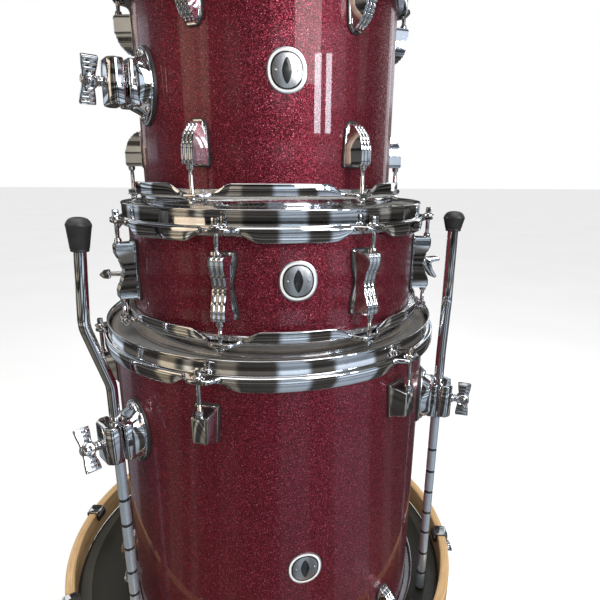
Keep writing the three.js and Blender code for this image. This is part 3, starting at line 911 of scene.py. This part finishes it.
def clamp_base():
    """The plate on its gasket, a bowl, and the grooved block that a rod lies in."""
    plate = prism(oval(50, 76, 1.9, 48), 1, 3.6, "yz", 0.9)
    gasket = prism(oval(52.6, 78.6, 1.9, 48), -3.2, 1.4, "yz", 0.5, look=1)
    bowl = oval_dome([
        (2.8, 47, 62, 2.2), (5, 46.4, 59, 2.4), (9, 44.5, 54, 2.8),
        (13, 42, 49.5, 3.4), (15.5, 39.6, 46, 4.2), (16.4, 37.6, 43.6, 5),
    ], points=48)
    groove = groove_from(BODY_FACE, -1)[::-1]
    plan = [(12, -19, 3), (BODY_FACE, -19, 3), *groove, (BODY_FACE, 19, 3), (12, 19, 3)]
    block = prism(rounded(plan, 1), -CLAMP_HALF, CLAMP_HALF, "xy", 1.8)
    window, hood = [], []
    peak = rounded([(-9.5, 27), (9.5, 27), (5.5, 33.4), (0, 37.2), (-5.5, 33.4)], 1.4, steps=2)
    for side in (-1, 1):
        face = 19 * side
        frame_line, hole = rectangle(15.2, -4.6, 21.4, 4.6, 0.8), rectangle(16.3, -3.4, 20.3, 3.4, 0.6)
        window.append(prism(frame_line, face - 0.35, face + 0.35, "xz", 0.15, look=3))
        # painted shade: the window's hole is a black plate on the block's side
        window.append(prism(hole, face - 0.5, face + 0.5, "xz", 0.1, look=2))
        hood.append(prism([(y, z * side) for y, z in peak], 3.2, 5.2, "yz", 0.8))
        hood.append(clamp_screw(side * 31.2).at(1.6, 0, 0))
    return joined(gasket, plate, bowl, block, *window, *hood)


def clamp_jaw():
    """The jaw that the thumb screw presses on the rod."""
    plan = [(JAW_IN, 17, 3), (JAW_OUT - 6, 17.4, 5), (JAW_OUT, 11, 5), (JAW_OUT, -11, 5),
            (JAW_OUT - 6, -17.4, 5), (JAW_IN, -17, 3), *groove_from(JAW_IN, 1)]
    body = prism(rounded(plan, 1), -CLAMP_HALF, CLAMP_HALF, "xy", 2.2)
    boss = rounded([(3.6, 40.5), (8.2, 40.5), (7.6, 42.1), (3.6, 42.1)], 0.4, steps=2)
    return joined(body, turned(boss, 28, axis="x"))


WING_MIDDLE = 57  # along the screw, from the shell


def wing_bolt():
    """A thumb screw. Its waisted wing lies along the screw, with a round boss on both faces."""
    profile = [(0, 32), (2.9, 32), (2.9, 42.4), (5.6, 42.6), (6.1, 43.5), (5.6, 44.3), (4.2, 44.8),
               (4, 45.8), (4.8, 46.3), (5, 47.2), (4.4, 48), (3.8, 48.6), (3.8, 58), (0, 58)]
    parts = [turned(profile, 36, axis="x")]
    ends = [(8.1, 23.6), (7.4, 15, 5), (6.2, 8, 5), (6, 0, 6), (6.2, -8, 5), (7.4, -15, 5), (8.1, -23.6)]
    outline = rounded(mirrored(ends), 1.5)
    parts.append(prism([(WING_MIDDLE + x, z) for x, z in outline], -2.5, 2.5, "xz", 0.9))
    for z, half in ((11.6, 5.8), (16.4, 6.5), (21.2, 7.1)):
        for side in (-1, 1):
            shape = [(WING_MIDDLE + u, z * side + v) for u, v in rectangle(-half, -1.4, half, 1.4, 1)]
            parts.append(prism(shape, -3.5, 3.5, "xz", 0.9))
    rim = [(0, 0), (7.6, 0), (8, 0.6), (8, 3.6), (7.3, 4.8), (6.3, 5.3), (5.5, 4.9), (5.1, 4.2),
           (4, 4), (3.4, 4.5), (2.2, 5.1), (0, 5.3)]
    for side in (0, 180):
        boss = turned(rim, 36, axis="y").turned_about("Z", side)
        parts.append(boss.at(WING_MIDDLE - 0.8, 0, 0))
    return joined(*parts)


def rod_clamp(drum, angle, level, base, jaw, bolt, tilt):
    """A clamp's three pieces. tilt is how its wing stands at rest."""
    matrix = drum.on_shell(angle, level)
    stand_in(base, "cast", clamp_base(), [*CAST, STEEL], drum.body, matrix)
    stand_in(jaw, "cast", clamp_jaw(), CHROME, jaw, matrix)
    stand_in(bolt, "cast", wing_bolt().turned_about("X", tilt), CHROME, bolt, matrix)


# ---- legs
LEG_RADIUS, LEG_GROOVE, LEG_LOW = 5.9, 5.45, -7.5
LEG_LINE = [(0, LEG_LOW), (0, 368), (20.5, 439), (14.5, 533)]
LEG_RINGS = [21, 56, 93, 126, 160, 193, 227]
SATIN_TOP = 276  # bare chrome from here up
FOOT_CAP = 13
LEG_CLAMP_LEVEL = 305


def leg_form():
    """A rod with a knee. Its straight part is ground satin below the clamp, with grooves round it that are
    coloured dark as painted shade.
    """
    line = rounded([(x, z, 46) for x, z in LEG_LINE], 46, closed=False, steps=9)
    stops = [(0, LEG_LOW, 4.6, 2), (0, LEG_LOW + 1.3, LEG_RADIUS, 2)]
    # painted shade: look 1 colours each groove near black
    ring = [(-1.9, LEG_RADIUS, 1), (-1.4, LEG_GROOVE, 1), (1.4, LEG_GROOVE, 1), (1.9, LEG_RADIUS, 2)]
    for z in LEG_RINGS:
        stops += [(0, z + step, radius, look) for step, radius, look in ring]
    stops += [(0, SATIN_TOP, LEG_RADIUS, 0)] + [(x, z, LEG_RADIUS, 0) for x, z in line[1:]]
    path = [(x, 0, z) for x, z, _, _ in stops]
    return swept(path, [radius for _, _, radius, _ in stops], 24, [look for _, _, _, look in stops[:-1]])


def foot_form(depth):
    """A rubber foot. z = 0 is its mouth, and the leg reaches depth into it."""
    end = depth + FOOT_CAP
    mouth = [(0, depth), (6.1, depth), (6.1, 0.8), (6.7, 0), (7.9, 0), (8.5, 0.6), (8.6, 1.6),
             (8.4, 2.2), (8.9, 3)]
    cap = [(11.5, 9.6), (11.9, 8.6), (11.9, 7.9), (11.5, 6.4), (10.3, 4), (8.4, 1.9), (5.8, 0.7),
           (3, 0.2), (0, 0)]
    return turned(mouth + [(radius, end - up) for radius, up in cap], 36)


def legs():
    """Each leg has an angle round the drum, a direction of its knee, and a depth in its foot."""
    (knee_x, knee_z), (tip_x, tip_z) = LEG_LINE[2:]
    lean = math.atan2(tip_x - knee_x, tip_z - knee_z)
    for number, (angle, knee, depth) in enumerate(((-60, -60, 20), (60, -30, 10), (180, 180, 20)), 1):
        matrix = FLOOR_TOM.on_shell(angle, 0, out=ROD_AXIS) @ spin(knee - angle, "Z")
        body = f"floor_leg_{number}"
        stand_in(body, "rod", leg_form(), [CHROME, GROOVE_SHADE_AND_DARK_HOOP, SATIN], body, matrix)
        gone = depth - 0.3
        mouth = shift(tip_x - gone * math.sin(lean), 0, tip_z - gone * math.cos(lean))
        seat = matrix @ mouth @ Matrix.Rotation(lean, 4, "Y")
        stand_in(f"floor_leg_foot_{number}", "rubber", foot_form(depth), RUBBER, body, seat, "rubber")


# ---- snare hardware
STRAINER_ANGLE, STRAINER_LEVEL, BUTT_LEVEL = 90, 61, 52
LEVER_X, LEVER_Z = 30, -8


def strainer_form():
    """The strainer's plate, its housing, and the cheeks that hold the lever's pin."""
    plate = plate_on_gasket(oval(36, 74, 2.6), 2.9, 1.4)
    outline = [(2, -26), (15, -26), (22, -14, 6), (22.5, 6, 8), (17, 26, 4), (2, 26)]
    housing = prism(rounded(outline, 2.4, steps=4), -13, 13, "xz", 2.4)
    cheek = rounded([(15, -22), (27, -15), (35, -10), (35, -4), (27, 2), (15, 8)], 4, steps=4)
    parts = [plate, housing]
    for side in (-1, 1):
        parts.append(prism(cheek, side * 10.3 - 2, side * 10.3 + 2, "xz", 0.9))
        pin = turned([(0, 11.6), (3.6, 11.6), (3.6, 13.2), (2.4, 13.9), (0, 14.1)], 24, axis="y")
        parts.append(pin.turned_about("Z", 0 if side > 0 else 180).at(LEVER_X, 0, LEVER_Z))
        parts.append(clamp_screw(-31).at(5.2, side * 8.2, 0))
    parts.append(box((2, -14, -36), (10, 14, -26.5), 1))
    parts.append(box((10.7, -13.4, -35.4), (12.6, 13.4, -27.2), 0.6))
    for z in (14, 19):
        parts.append(box((17.6, -9, z - 1), (22.4 - (z - 14) * 0.4, 9, z + 1), 0.5))
    return joined(*parts)


def lever_form():
    """A bent lever that turns on a hub, with grip ridges. z = 0 is its pin."""
    outline = [(-2, 4.5), (12, 2.5), (26, 3), (28, 0.5), (27, -2), (15, -4), (18, -14), (25, -24), (23, -27),
               (18, -25), (9, -14), (4, -5)]
    plate = prism(rounded(outline, 2, steps=4), -7.4, 7.4, "xz", 1.6)
    hub = joined(collar(1.6, 5, -7.9, 7.9, 0.6, "y"), disc(1.7, -7.6, 7.6, 16, axis="y"))
    bar = rectangle(-0.6, -5.6, 0.6, 5.6, 0.4)
    ridges = [prism([(u + x, v) for u, v in bar], 2.2, 3.5, "xy", 0.35) for x in (18.5, 21.5, 24.5)]
    return joined(plate, hub, *ridges)


def knob_form():
    """A knurled thumb nut on a threaded stem."""
    sections, teeth = [], 24
    for radius, z in ((7, 3), (8, 3.8), (8, 12.2), (7.2, 13.4), (6.2, 14.4), (5.6, 14.9)):
        ring = []
        for k in range(teeth * 4):
            a = 2 * math.pi * k / (teeth * 4)
            cut = 0.45 if radius == 8 and k % 4 in (0, 1) else 0
            ring.append(((radius - cut) * math.cos(a), (radius - cut) * math.sin(a), z))
        sections.append(ring)
    return joined(loft(sections), disc(3, 0, 3.2, 24))


def butt_form():
    """The plate that holds the straps' other end, with its clamp and a long thumb screw."""
    plate = plate_on_gasket(oval(34, 58, 2.6), 2.9, 1.4)
    clamp = box((2, -14, -22), (11, 14, 4), 1.4, corner=2)
    cover = box((11.6, -13, -20.5), (13.2, 13, -12.5), 0.5)
    profile = [(0, 10), (3.1, 10)]
    for k in range(17):
        profile += [(3.1, 13.2 + k), (2.7, 13.7 + k)]
    profile += [(3.1, 30.5), (3.1, 38), (0, 38)]
    screw = turned(profile, 20, axis="x").at(0, 0, -7)
    thumb = rounded([(30, -13), (38, -12), (43, -7), (38, -2), (30, -1)], 1.8, steps=4)
    thumb = prism(thumb, -4, 4, "xz", 1.4)
    heads = [clamp_screw(-16.5).at(7.6, side * 8, 0) for side in (-1, 1)]
    return joined(plate, clamp, cover, screw, thumb, *heads)


WIRE_REACH, WIRE_PLATE, WIRE_TOP = 150, 12, -4.4


def wires_form():
    """Twenty coiled strands between two end plates."""
    parts = []
    for side in (-1, 1):
        x0, x1 = sorted((side * (WIRE_REACH - WIRE_PLATE), side * WIRE_REACH))
        parts.append(box((x0, -21, WIRE_TOP - 2), (x1, 21, WIRE_TOP), 0.4))
        for y in (-15, 0, 15):
            rivet = turned([(0, -0.2), (1.7, -0.2), (1.5, 0.35), (0, 0.5)], 14).turned_about("X", 180)
            parts.append(rivet.at((x0 + x1) / 2, y, WIRE_TOP - 1.9))
    inset_x = WIRE_REACH - WIRE_PLATE / 2
    rings = 120
    for i in range(20):
        y = (i - 9.5) * 2
        path = [(mix(-inset_x, inset_x, k / rings), y, WIRE_TOP - 0.85) for k in range(rings + 1)]
        parts.append(swept(path, [0.45 if k % 2 else 0.3 for k in range(rings + 1)], 6))
    return joined(*parts)


def strap(label, side, clamp_level):
    """A thin plastic strap from the wires' end plate, through the hoop's gate, up to its clamp."""
    r = SNARE.radius
    line = [(-r + WIRE_REACH - 9, -6.75), (-4, -6.6), (9, -6, 5), (13.2, -1.5, 5), (13.2, 19.5, 6),
            (11, clamp_level - 4, 4), (11, clamp_level + 4)]
    form = prism(sheet_section(line, 0.35, 3), -17, 17, "xz", 0.1)
    made = piece(f"snare_strap_{label}", form, CLEAR_STRAP, None, SNARE.on_shell(STRAINER_ANGLE * side, 0))
    toward = SNARE.matrix @ spin(90 * side - 90, "Z")
    start, end = (toward @ Vector((r + out, 0, 0)) * MM for out in (-6, 9))
    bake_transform(made)
    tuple(end)
    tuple(start)


# ---- bass drum hardware
def claw_form():
    """A hook over the wooden hoop, lined with rubber. z = 0 is the shell's edge."""
    hook = sheet_section([(3.2, 24), (3.2, 37.9), (21.4, 37.9), (21.4, 8.4), (31, 8.4)], 1.9, 2.6)
    shape = prism(hook, -9.5, 9.5, "xz", 0.5)
    liner = sheet_section([(4.9, 25.2), (4.9, 36.6), (20, 36.6), (20, 14)], 1, 1.6)
    lining = prism(liner, -10.4, 10.4, "xz", 0.3, look=1)
    pad = box((0.2, -10.8, 22.6), (4.2, 10.8, 33), 0.8, 1, 1.6)
    lobe = prism(oval(13.6, 15, 2.2, 32), 0, 2, "xy", 0.5).at(BASS_ROD_OUT, 0, 7.4)
    ridge = rounded([(-4.6, 11), (4.6, 11), (2.6, 35), (-2.6, 35)], 1.6, steps=2)
    ridge = prism(ridge, 21.9, 23.6, "yz", 0.7)
    return joined(shape, lining, pad, lobe, ridge)


def bass_hardware():
    """Claws, rods and lugs at both edges."""
    claw, lug = claw_form(), arch_lug(1.15, BASS_ROD_OUT)
    rod = joined(key_head(9.4, 6.2), rod_stem(11, -66))
    for side, label in ((1, "front"), (-1, "batter")):
        edge = BASS.edge(side)
        round_drum(BASS, f"{label}_claw", claw, CAST[:2], side, edge)
        round_drum(BASS, f"{label}_tension_rod", rod, CHROME, side, edge, BASS_ROD_OUT)
        round_drum(BASS, f"{label}_lug", lug, CAST[:2], side, edge - 60 * side)


SPUR_LEVEL, SPUR_ANGLE, SPUR_PIVOT = 362, 122, 31
SPUR_LENGTH, SPUR_RADIUS = 245, 8
SPUR_HINGE = Vector((0.8858, -0.1276, -0.4462)).normalized()


def along_hinge(form, side):
    """Turns a form made along Z onto the spur's hinge axis."""
    axis = Vector((SPUR_HINGE.x, SPUR_HINGE.y * side, SPUR_HINGE.z))
    return form.moved(Vector((0, 0, 1)).rotation_difference(axis).to_matrix().to_4x4())


def spur_bracket_form(side):
    """A domed bracket with the boss that the spur turns on."""
    plate = plate_on_gasket(oval(48, 70, 2.3, 48), 3.6, 2)
    dome = oval_dome([(2.6, 36, 50, 3), (7, 34, 46, 3), (12, 30, 40, 3), (16, 25, 32, 3), (18, 19, 24, 3)])
    boss = turned([(0, -20), (9, -20), (9, -8.8), (8.2, -8), (0, -8)], 32)
    boss = along_hinge(boss, side).at(SPUR_PIVOT, 0, 0)
    screws = [clamp_screw(z).at(-0.1, 0, 0) for z in (-29.5, 29.5)]
    return joined(plate, dome, boss, *screws)


def spur_leg_form(side):
    """The spur's knuckle, its bolt and its tube, which hangs down at rest."""
    knuckle = turned([(0, -7.7), (10.2, -7.7), (11, -6.8), (11, 8), (10.2, 9), (0, 9)], 32)
    bolt = turned([(0, 8.6), (6.4, 8.6), (6.4, 11.4), (5.4, 12.6), (0, 12.8)], 28)
    key = prism(rectangle(-2.6, -2.6, 2.6, 2.6, 0.5), 12.4, 17.5, "xy", 0.5)
    hinge = along_hinge(joined(knuckle, bolt, key), side)
    line = [(0, 0, -4), (0, 0, -30), (0, 0, -60), (0, 0, -62), (0, 0, -SPUR_LENGTH + 1), (0, 0, -SPUR_LENGTH)]
    tube = swept(line, [8.6, 8.6, 8.6, SPUR_RADIUS, SPUR_RADIUS, 7.2], 28)
    return joined(hinge, tube)


def spur_foot_form():
    """A ribbed rubber foot over the tube's end."""
    bore = SPUR_RADIUS + 0.3
    z = -SPUR_LENGTH
    profile = [(0, z - 0.3), (bore, z - 0.3), (bore, z + 17.4), (9.2, z + 18), (10.6, z + 17.2)]
    for k in range(3):
        top = z + 13.6 - 4.4 * k
        profile += [(11, top), (10.4, top - 0.6), (10.4, top - 1.4), (11.2, top - 2)]
    profile += [(11.5, z - 6), (9.4, z - 12.4), (5.4, z - 15.6), (0, z - 16)]
    return turned(profile, 32)


def spurs():
    for name, side in (("left", -1), ("right", 1)):
        matrix = BASS.on_shell(side * SPUR_ANGLE, SPUR_LEVEL)
        body, pivot = f"spur_{name}", matrix @ shift(SPUR_PIVOT, 0, 0)
        stand_in(f"spur_bracket_{name}", "cast", spur_bracket_form(side), CAST, "bass_drum", matrix)
        stand_in(f"spur_leg_{name}", "tube", spur_leg_form(side), CHROME, body, pivot)
        stand_in(f"spur_foot_{name}", "rubber", spur_foot_form(), RUBBER, body, pivot, "rubber")


HOLDER_LEVEL, HOLDER_HEIGHT = 300, 17


def tom_holder():
    """The base that a tom's arm would go into, and its key bolt."""
    matrix = BASS.on_shell(0, HOLDER_LEVEL)
    plate = plate_on_gasket(oval(66, 96, 2.3, 56), 3.6, 2.2)
    socket = [(12.8, 0.4), (12.8, 16.2), (13.4, HOLDER_HEIGHT), (21.6, HOLDER_HEIGHT), (23, 15.6), (23, 8),
              (25.5, 4.2), (26.5, 2.6), (26.5, 0.4)]
    boss = turned(socket, 48, axis="x")
    # painted shade: a black disc at the bottom of the socket
    floor = disc(13.2, 0.6, 1.4, 40, 2, "x")
    lug = box((2.4, 20, -11), (HOLDER_HEIGHT, 34, 11), 1.6, corner=4)
    screws = [clamp_screw(z) for z in (-39, 39)]
    form = joined(plate, boss, floor, lug, *screws)
    stand_in("tom_holder_base", "cast", form, CAST, "bass_drum", matrix)
    x = HOLDER_HEIGHT / 2 + 1
    stem = turned([(0, 15), (3, 15), (3, 34.4), (6, 34.5), (6, 36.2), (5.2, 37), (0, 37)], 28, axis="y")
    bolt = joined(stem.at(x, 0, 0), prism(rectangle(x - 2.8, -2.8, x + 2.8, 2.8, 0.6), 36.6, 44, "xz", 0.7))
    stand_in("tom_holder_key_bolt", "turned", bolt, CHROME, "tom_holder_key_bolt", matrix)


# ---- the four drums
STEEL_RIMS = ((FLOOR_TOM, 1, "resonant"), (FLOOR_TOM, -1, "batter"), (SNARE, 1, "batter"),
              (SNARE, -1, "resonant"), (RACK_TOM, 1, "batter"), (RACK_TOM, -1, "resonant"))
for drum in (BASS, FLOOR_TOM, SNARE, RACK_TOM):
    shell(drum)
head(BASS, 1, "front", DARK_FILM, "dark_head", DARK_RIM, GROOVE_SHADE_AND_DARK_HOOP, -2.4)
head(BASS, -1, "batter", COATED, "coated_head", CLEAR, GROOVE_SHADE_AND_DARK_HOOP, -2.4)
for drum, side, role in STEEL_RIMS:
    film, slot = (COATED, "coated_head") if role == "batter" else (CLEAR, "clear_head")
    head(drum, side, role, film, slot, CLEAR)
wood_hoop(1, "front")
wood_hoop(-1, "batter")
for drum, side, role in STEEL_RIMS:
    steel_hoop(drum, side, role, (90, -90) if drum is SNARE and side < 0 else ())

ARCH = arch_lug()
SNARE_LUG_GAP = SNARE.depth / 2 - 31
for drum, upper, low, high in ((RACK_TOM, ARCH, 38.2, 203), (FLOOR_TOM, box_lug(), 42.4, 364)):
    round_drum(drum, "lower_lug", ARCH, CAST, -1, low)
    round_drum(drum, "upper_lug", upper, CAST, 1, high)
    tension_rods(drum, low, drum.depth - high)
tension_rods(SNARE, SNARE_LUG_GAP, SNARE_LUG_GAP)
DOUBLE = snare_lug()
for i, angle in enumerate(SNARE.rod_angles()):
    matrix = SNARE.on_shell(angle, SNARE.depth / 2)
    stand_in(f"snare_lug_{i + 1}", "cast", DOUBLE, CAST, "snare_drum", matrix)

for drum, angle, level in ((RACK_TOM, 2.9, 122), (SNARE, 0.5, 68.5), (FLOOR_TOM, -2.1, 167), (BASS, 0, 175)):
    badge(drum, angle, level)
for drum, angle, level in ((BASS, 180, 330), (FLOOR_TOM, 210, 210), (SNARE, 180, SNARE.depth / 2),
                           (RACK_TOM, 180, RACK_TOM.depth / 2)):
    vent(drum, angle, level)

rod_clamp(RACK_TOM, -60, 117, "tom_bracket", "tom_clamp_jaw", "tom_wing_bolt", -30)
for number, (angle, tilt) in enumerate(((-60, 33), (60, 6), (180, 20)), 1):
    names = [f"leg_{part}_{number}" for part in ("bracket", "clamp_jaw", "wing_bolt")]
    rod_clamp(FLOOR_TOM, angle, LEG_CLAMP_LEVEL, *names, tilt)
legs()

strainer = SNARE.on_shell(STRAINER_ANGLE, STRAINER_LEVEL)
butt = SNARE.on_shell(STRAINER_ANGLE - 180, BUTT_LEVEL)
stand_in("strainer_body", "cast", strainer_form(), CAST, "snare_drum", strainer)
stand_in("throw_off_lever", "cast", lever_form(), CHROME, "throw_off_lever",
         strainer @ shift(LEVER_X, 0, LEVER_Z))
stand_in("strainer_knob", "knurled", knob_form(), CHROME, "strainer_knob", strainer @ shift(11, 0, 26.3))
stand_in("snare_butt_plate", "cast", butt_form(), CAST, "snare_drum", butt)
stand_in("snare_wires", "coiled", wires_form(), CHROME, "snare_wires", SNARE.matrix)
strap("strainer_side", 1, 30)
strap("butt_side", -1, 35.5)

bass_hardware()
spurs()
tom_holder()


# ---- floor, light and camera
CAMERA_PLACE = (0.0243, -0.6519, 1.0901)
CAMERA_TURNS = (3.165, 15.20, 0.32)  # degrees to the right, downwards, and of roll
CAMERA_LENS = 27.594  # mm
FLOOR_TOP = -0.0030  # the claws of the batter side stand a little below the hoop
FLOOR_SIZE = 40
ROOM_LIGHT = 0.86
ROOM_HEIGHTS = [  # what shines in gloss, from straight down to straight up
    (0.00, 0.35), (0.44, 0.25), (0.49, 0.07), (0.51, 0.07), (0.515, 0.80), (0.53, 0.80), (0.535, 0.10),
    (0.56, 0.20), (0.57, 1), (0.63, 1), (0.64, 0.10), (0.68, 0.12), (0.69, 0.60), (0.72, 0.60),
    (0.73, 0.15), (0.84, 0.50), (1.00, 0.80),
]
ROOM_DARK = (0.12, 0.113, 0.105)
ROOM_EDGE = 0.009
ROOM_BANDS = [  # what is bright round the horizon, from the back by the left side: start, end, colour
    (0.135, 0.185, (0.85, 0.96, 1.08)), (0.300, 0.325, (0.70, 0.60, 0.44)),
    (0.352, 0.358, (0.90, 0.84, 0.72)), (0.412, 0.437, (0.48, 0.43, 0.36)),
    (0.518, 0.562, (0.78, 0.92, 1.06)), (0.618, 0.687, (0.80, 0.92, 1.08)),
    (0.735, 0.755, (0.62, 0.60, 0.56)), (0.890, 0.935, (0.95, 1.06, 1.16)),
]
ROOM_SECTORS = [
    stop
    for start, end, colour in ROOM_BANDS
    for stop in ((start - ROOM_EDGE, ROOM_DARK), (start, colour), (end, colour), (end + ROOM_EDGE, ROOM_DARK))
]
FLOOR_PAINTED_RINGS = [  # painted light and shade: bright and dark rings that the floor shows in gloss, from one metre out
    (0.00, 0.25), (0.10, 0.35), (0.14, 0.20), (0.20, 0.40), (0.23, 0.20), (0.26, 0.25), (0.27, 0.95),
    (0.32, 0.95), (0.33, 0.10), (0.355, 0.10), (0.36, 0.75), (0.375, 0.75), (0.38, 0.10), (0.41, 0.12),
    (0.42, 1), (0.49, 0.95), (0.50, 0.10), (0.54, 0.12), (0.55, 0.90), (0.57, 0.90), (0.58, 0.12),
    (0.65, 0.85), (0.74, 0.20), (1.00, 0.40),
]


def sector_colour(nodes, place):
    """The room's brightness by the direction round the drums, and the height of a point."""
    axes = nodes.axes(place)
    share = nodes.math("ADD", nodes.math("DIVIDE", nodes.turn(axes), 2 * math.pi), 0.5)
    return nodes.ramp(share, *ROOM_SECTORS), axes["Z"]


def stage_floor():
    """Pale to the eye. In gloss rays its colour is painted light and shade: the room's sectors, darker, times
    painted bright rings.
    """
    mesh = bpy.data.meshes.new("floor")
    corners = [(x * FLOOR_SIZE, y * FLOOR_SIZE, FLOOR_TOP) for x, y in ((-1, -1), (1, -1), (1, 1), (-1, 1))]
    mesh.from_pydata(corners, [], [(0, 1, 2, 3)])
    net = Net("floor_paint", Roughness=0.95, Specular_IOR_Level=0)
    net.colour(net.noise(1.5, 4), (0.3, (0.95, 0.95, 0.95)), (0.7, (0.98, 0.98, 0.98)))
    colour, _ = sector_colour(net, net.place)
    away = net.node("VectorMath", {0: net.place}, operation="LENGTH").outputs["Value"]
    # painted reflections: rings of brightness on the floor that only gloss rays see
    rings = net.ramp(net.math("MULTIPLY", net.math("LOGARITHM", away, 10), 0.6), *FLOOR_PAINTED_RINGS)
    shade = net.node("BsdfDiffuse", {"Color": net.blend(1, colour, rings, "MULTIPLY")}).outputs[0]
    gloss = net.node("LightPath").outputs["Is Glossy Ray"]
    both = net.choose(gloss, net.shader.outputs[0], shade)
    net.tree.links.new(both, net.tree.nodes["Material Output"].inputs["Surface"])
    mesh.materials.append(net.material)
    add_object("floor", mesh)


def studio_world():
    """A pale room. Its diffuse light is even, and in gloss it has bright and dark parts."""
    world = bpy.data.worlds.new("studio")
    bpy.context.scene.world = world
    world.use_nodes = True
    nodes = Nodes(world.node_tree)
    nodes.tree.nodes.remove(nodes.tree.nodes["Background"])
    colour, up = sector_colour(nodes, nodes.node("TexCoord").outputs["Generated"])
    height = nodes.node("MapRange", {"Value": up, "From Min": -1}).outputs[0]
    white = (1, 1, 1, 1)
    kinds = ((white, ROOM_LIGHT), (colour, nodes.ramp(height, *ROOM_HEIGHTS)), (white, 1))
    made = [nodes.node("Background", {"Color": shade, "Strength": power}) for shade, power in kinds]
    even, room, seen = (node.outputs[0] for node in made)
    ray = nodes.node("LightPath").outputs
    shown = nodes.choose(ray["Is Camera Ray"], nodes.choose(ray["Is Glossy Ray"], even, room), seen)
    nodes.tree.links.new(shown, nodes.tree.nodes["World Output"].inputs["Surface"])


def soft_light(name, place, target, width, height, power, colour=(1, 1, 1)):
    data = bpy.data.lights.new(name, "AREA")
    data.shape = "RECTANGLE"
    data.size, data.size_y, data.energy, data.color = width, height, power, colour
    made = add_object(name, data)
    made.location = place
    made.rotation_euler = (Vector(target) - Vector(place)).to_track_quat("-Z", "Y").to_euler()


def camera():
    """A camera at the photograph's angle, for a square picture."""
    data = bpy.data.cameras.new("photo_view")
    data.sensor_width, data.lens, data.clip_start = 36, CAMERA_LENS, 0.01
    made = add_object("photo_view", data)
    yaw, pitch, roll = CAMERA_TURNS
    turn = spin(-yaw, "Z") @ spin(90 - pitch, "X") @ spin(roll, "Z")
    made.matrix_world = shift(*CAMERA_PLACE) @ turn
    bpy.context.scene.camera = made


stage_floor()
studio_world()
MIDDLE = (0, 0, 0.8)
RACK_FRONT, DAYLIGHT = (0.06, -0.18, 1.17), (0.84, 0.93, 1)
soft_light("key", (1.5, -2.3, 2.3), MIDDLE, 1.1, 1.4, 30, (1, 0.96, 0.97))
soft_light("window", (1.83, -2.08, 1.57), RACK_FRONT, 0.27, 0.45, 10, DAYLIGHT)
soft_light("window_beside", (2.14, -1.74, 1.57), RACK_FRONT, 0.24, 0.45, 9, DAYLIGHT)
soft_light("fill", (-2.4, -1.5, 1.7), MIDDLE, 1.3, 1.7, 7, (1, 0.80, 0.60))
soft_light("rim_left", (-1.7, 1.9, 1.9), MIDDLE, 0.5, 1.4, 2)
soft_light("rim_right", (1.9, 1.8, 1.6), MIDDLE, 0.5, 1.4, 3)
soft_light("top", (0, -0.2, 3.4), MIDDLE, 2, 2, 26)
camera()
bpy.context.scene.view_settings.view_transform = "Standard"
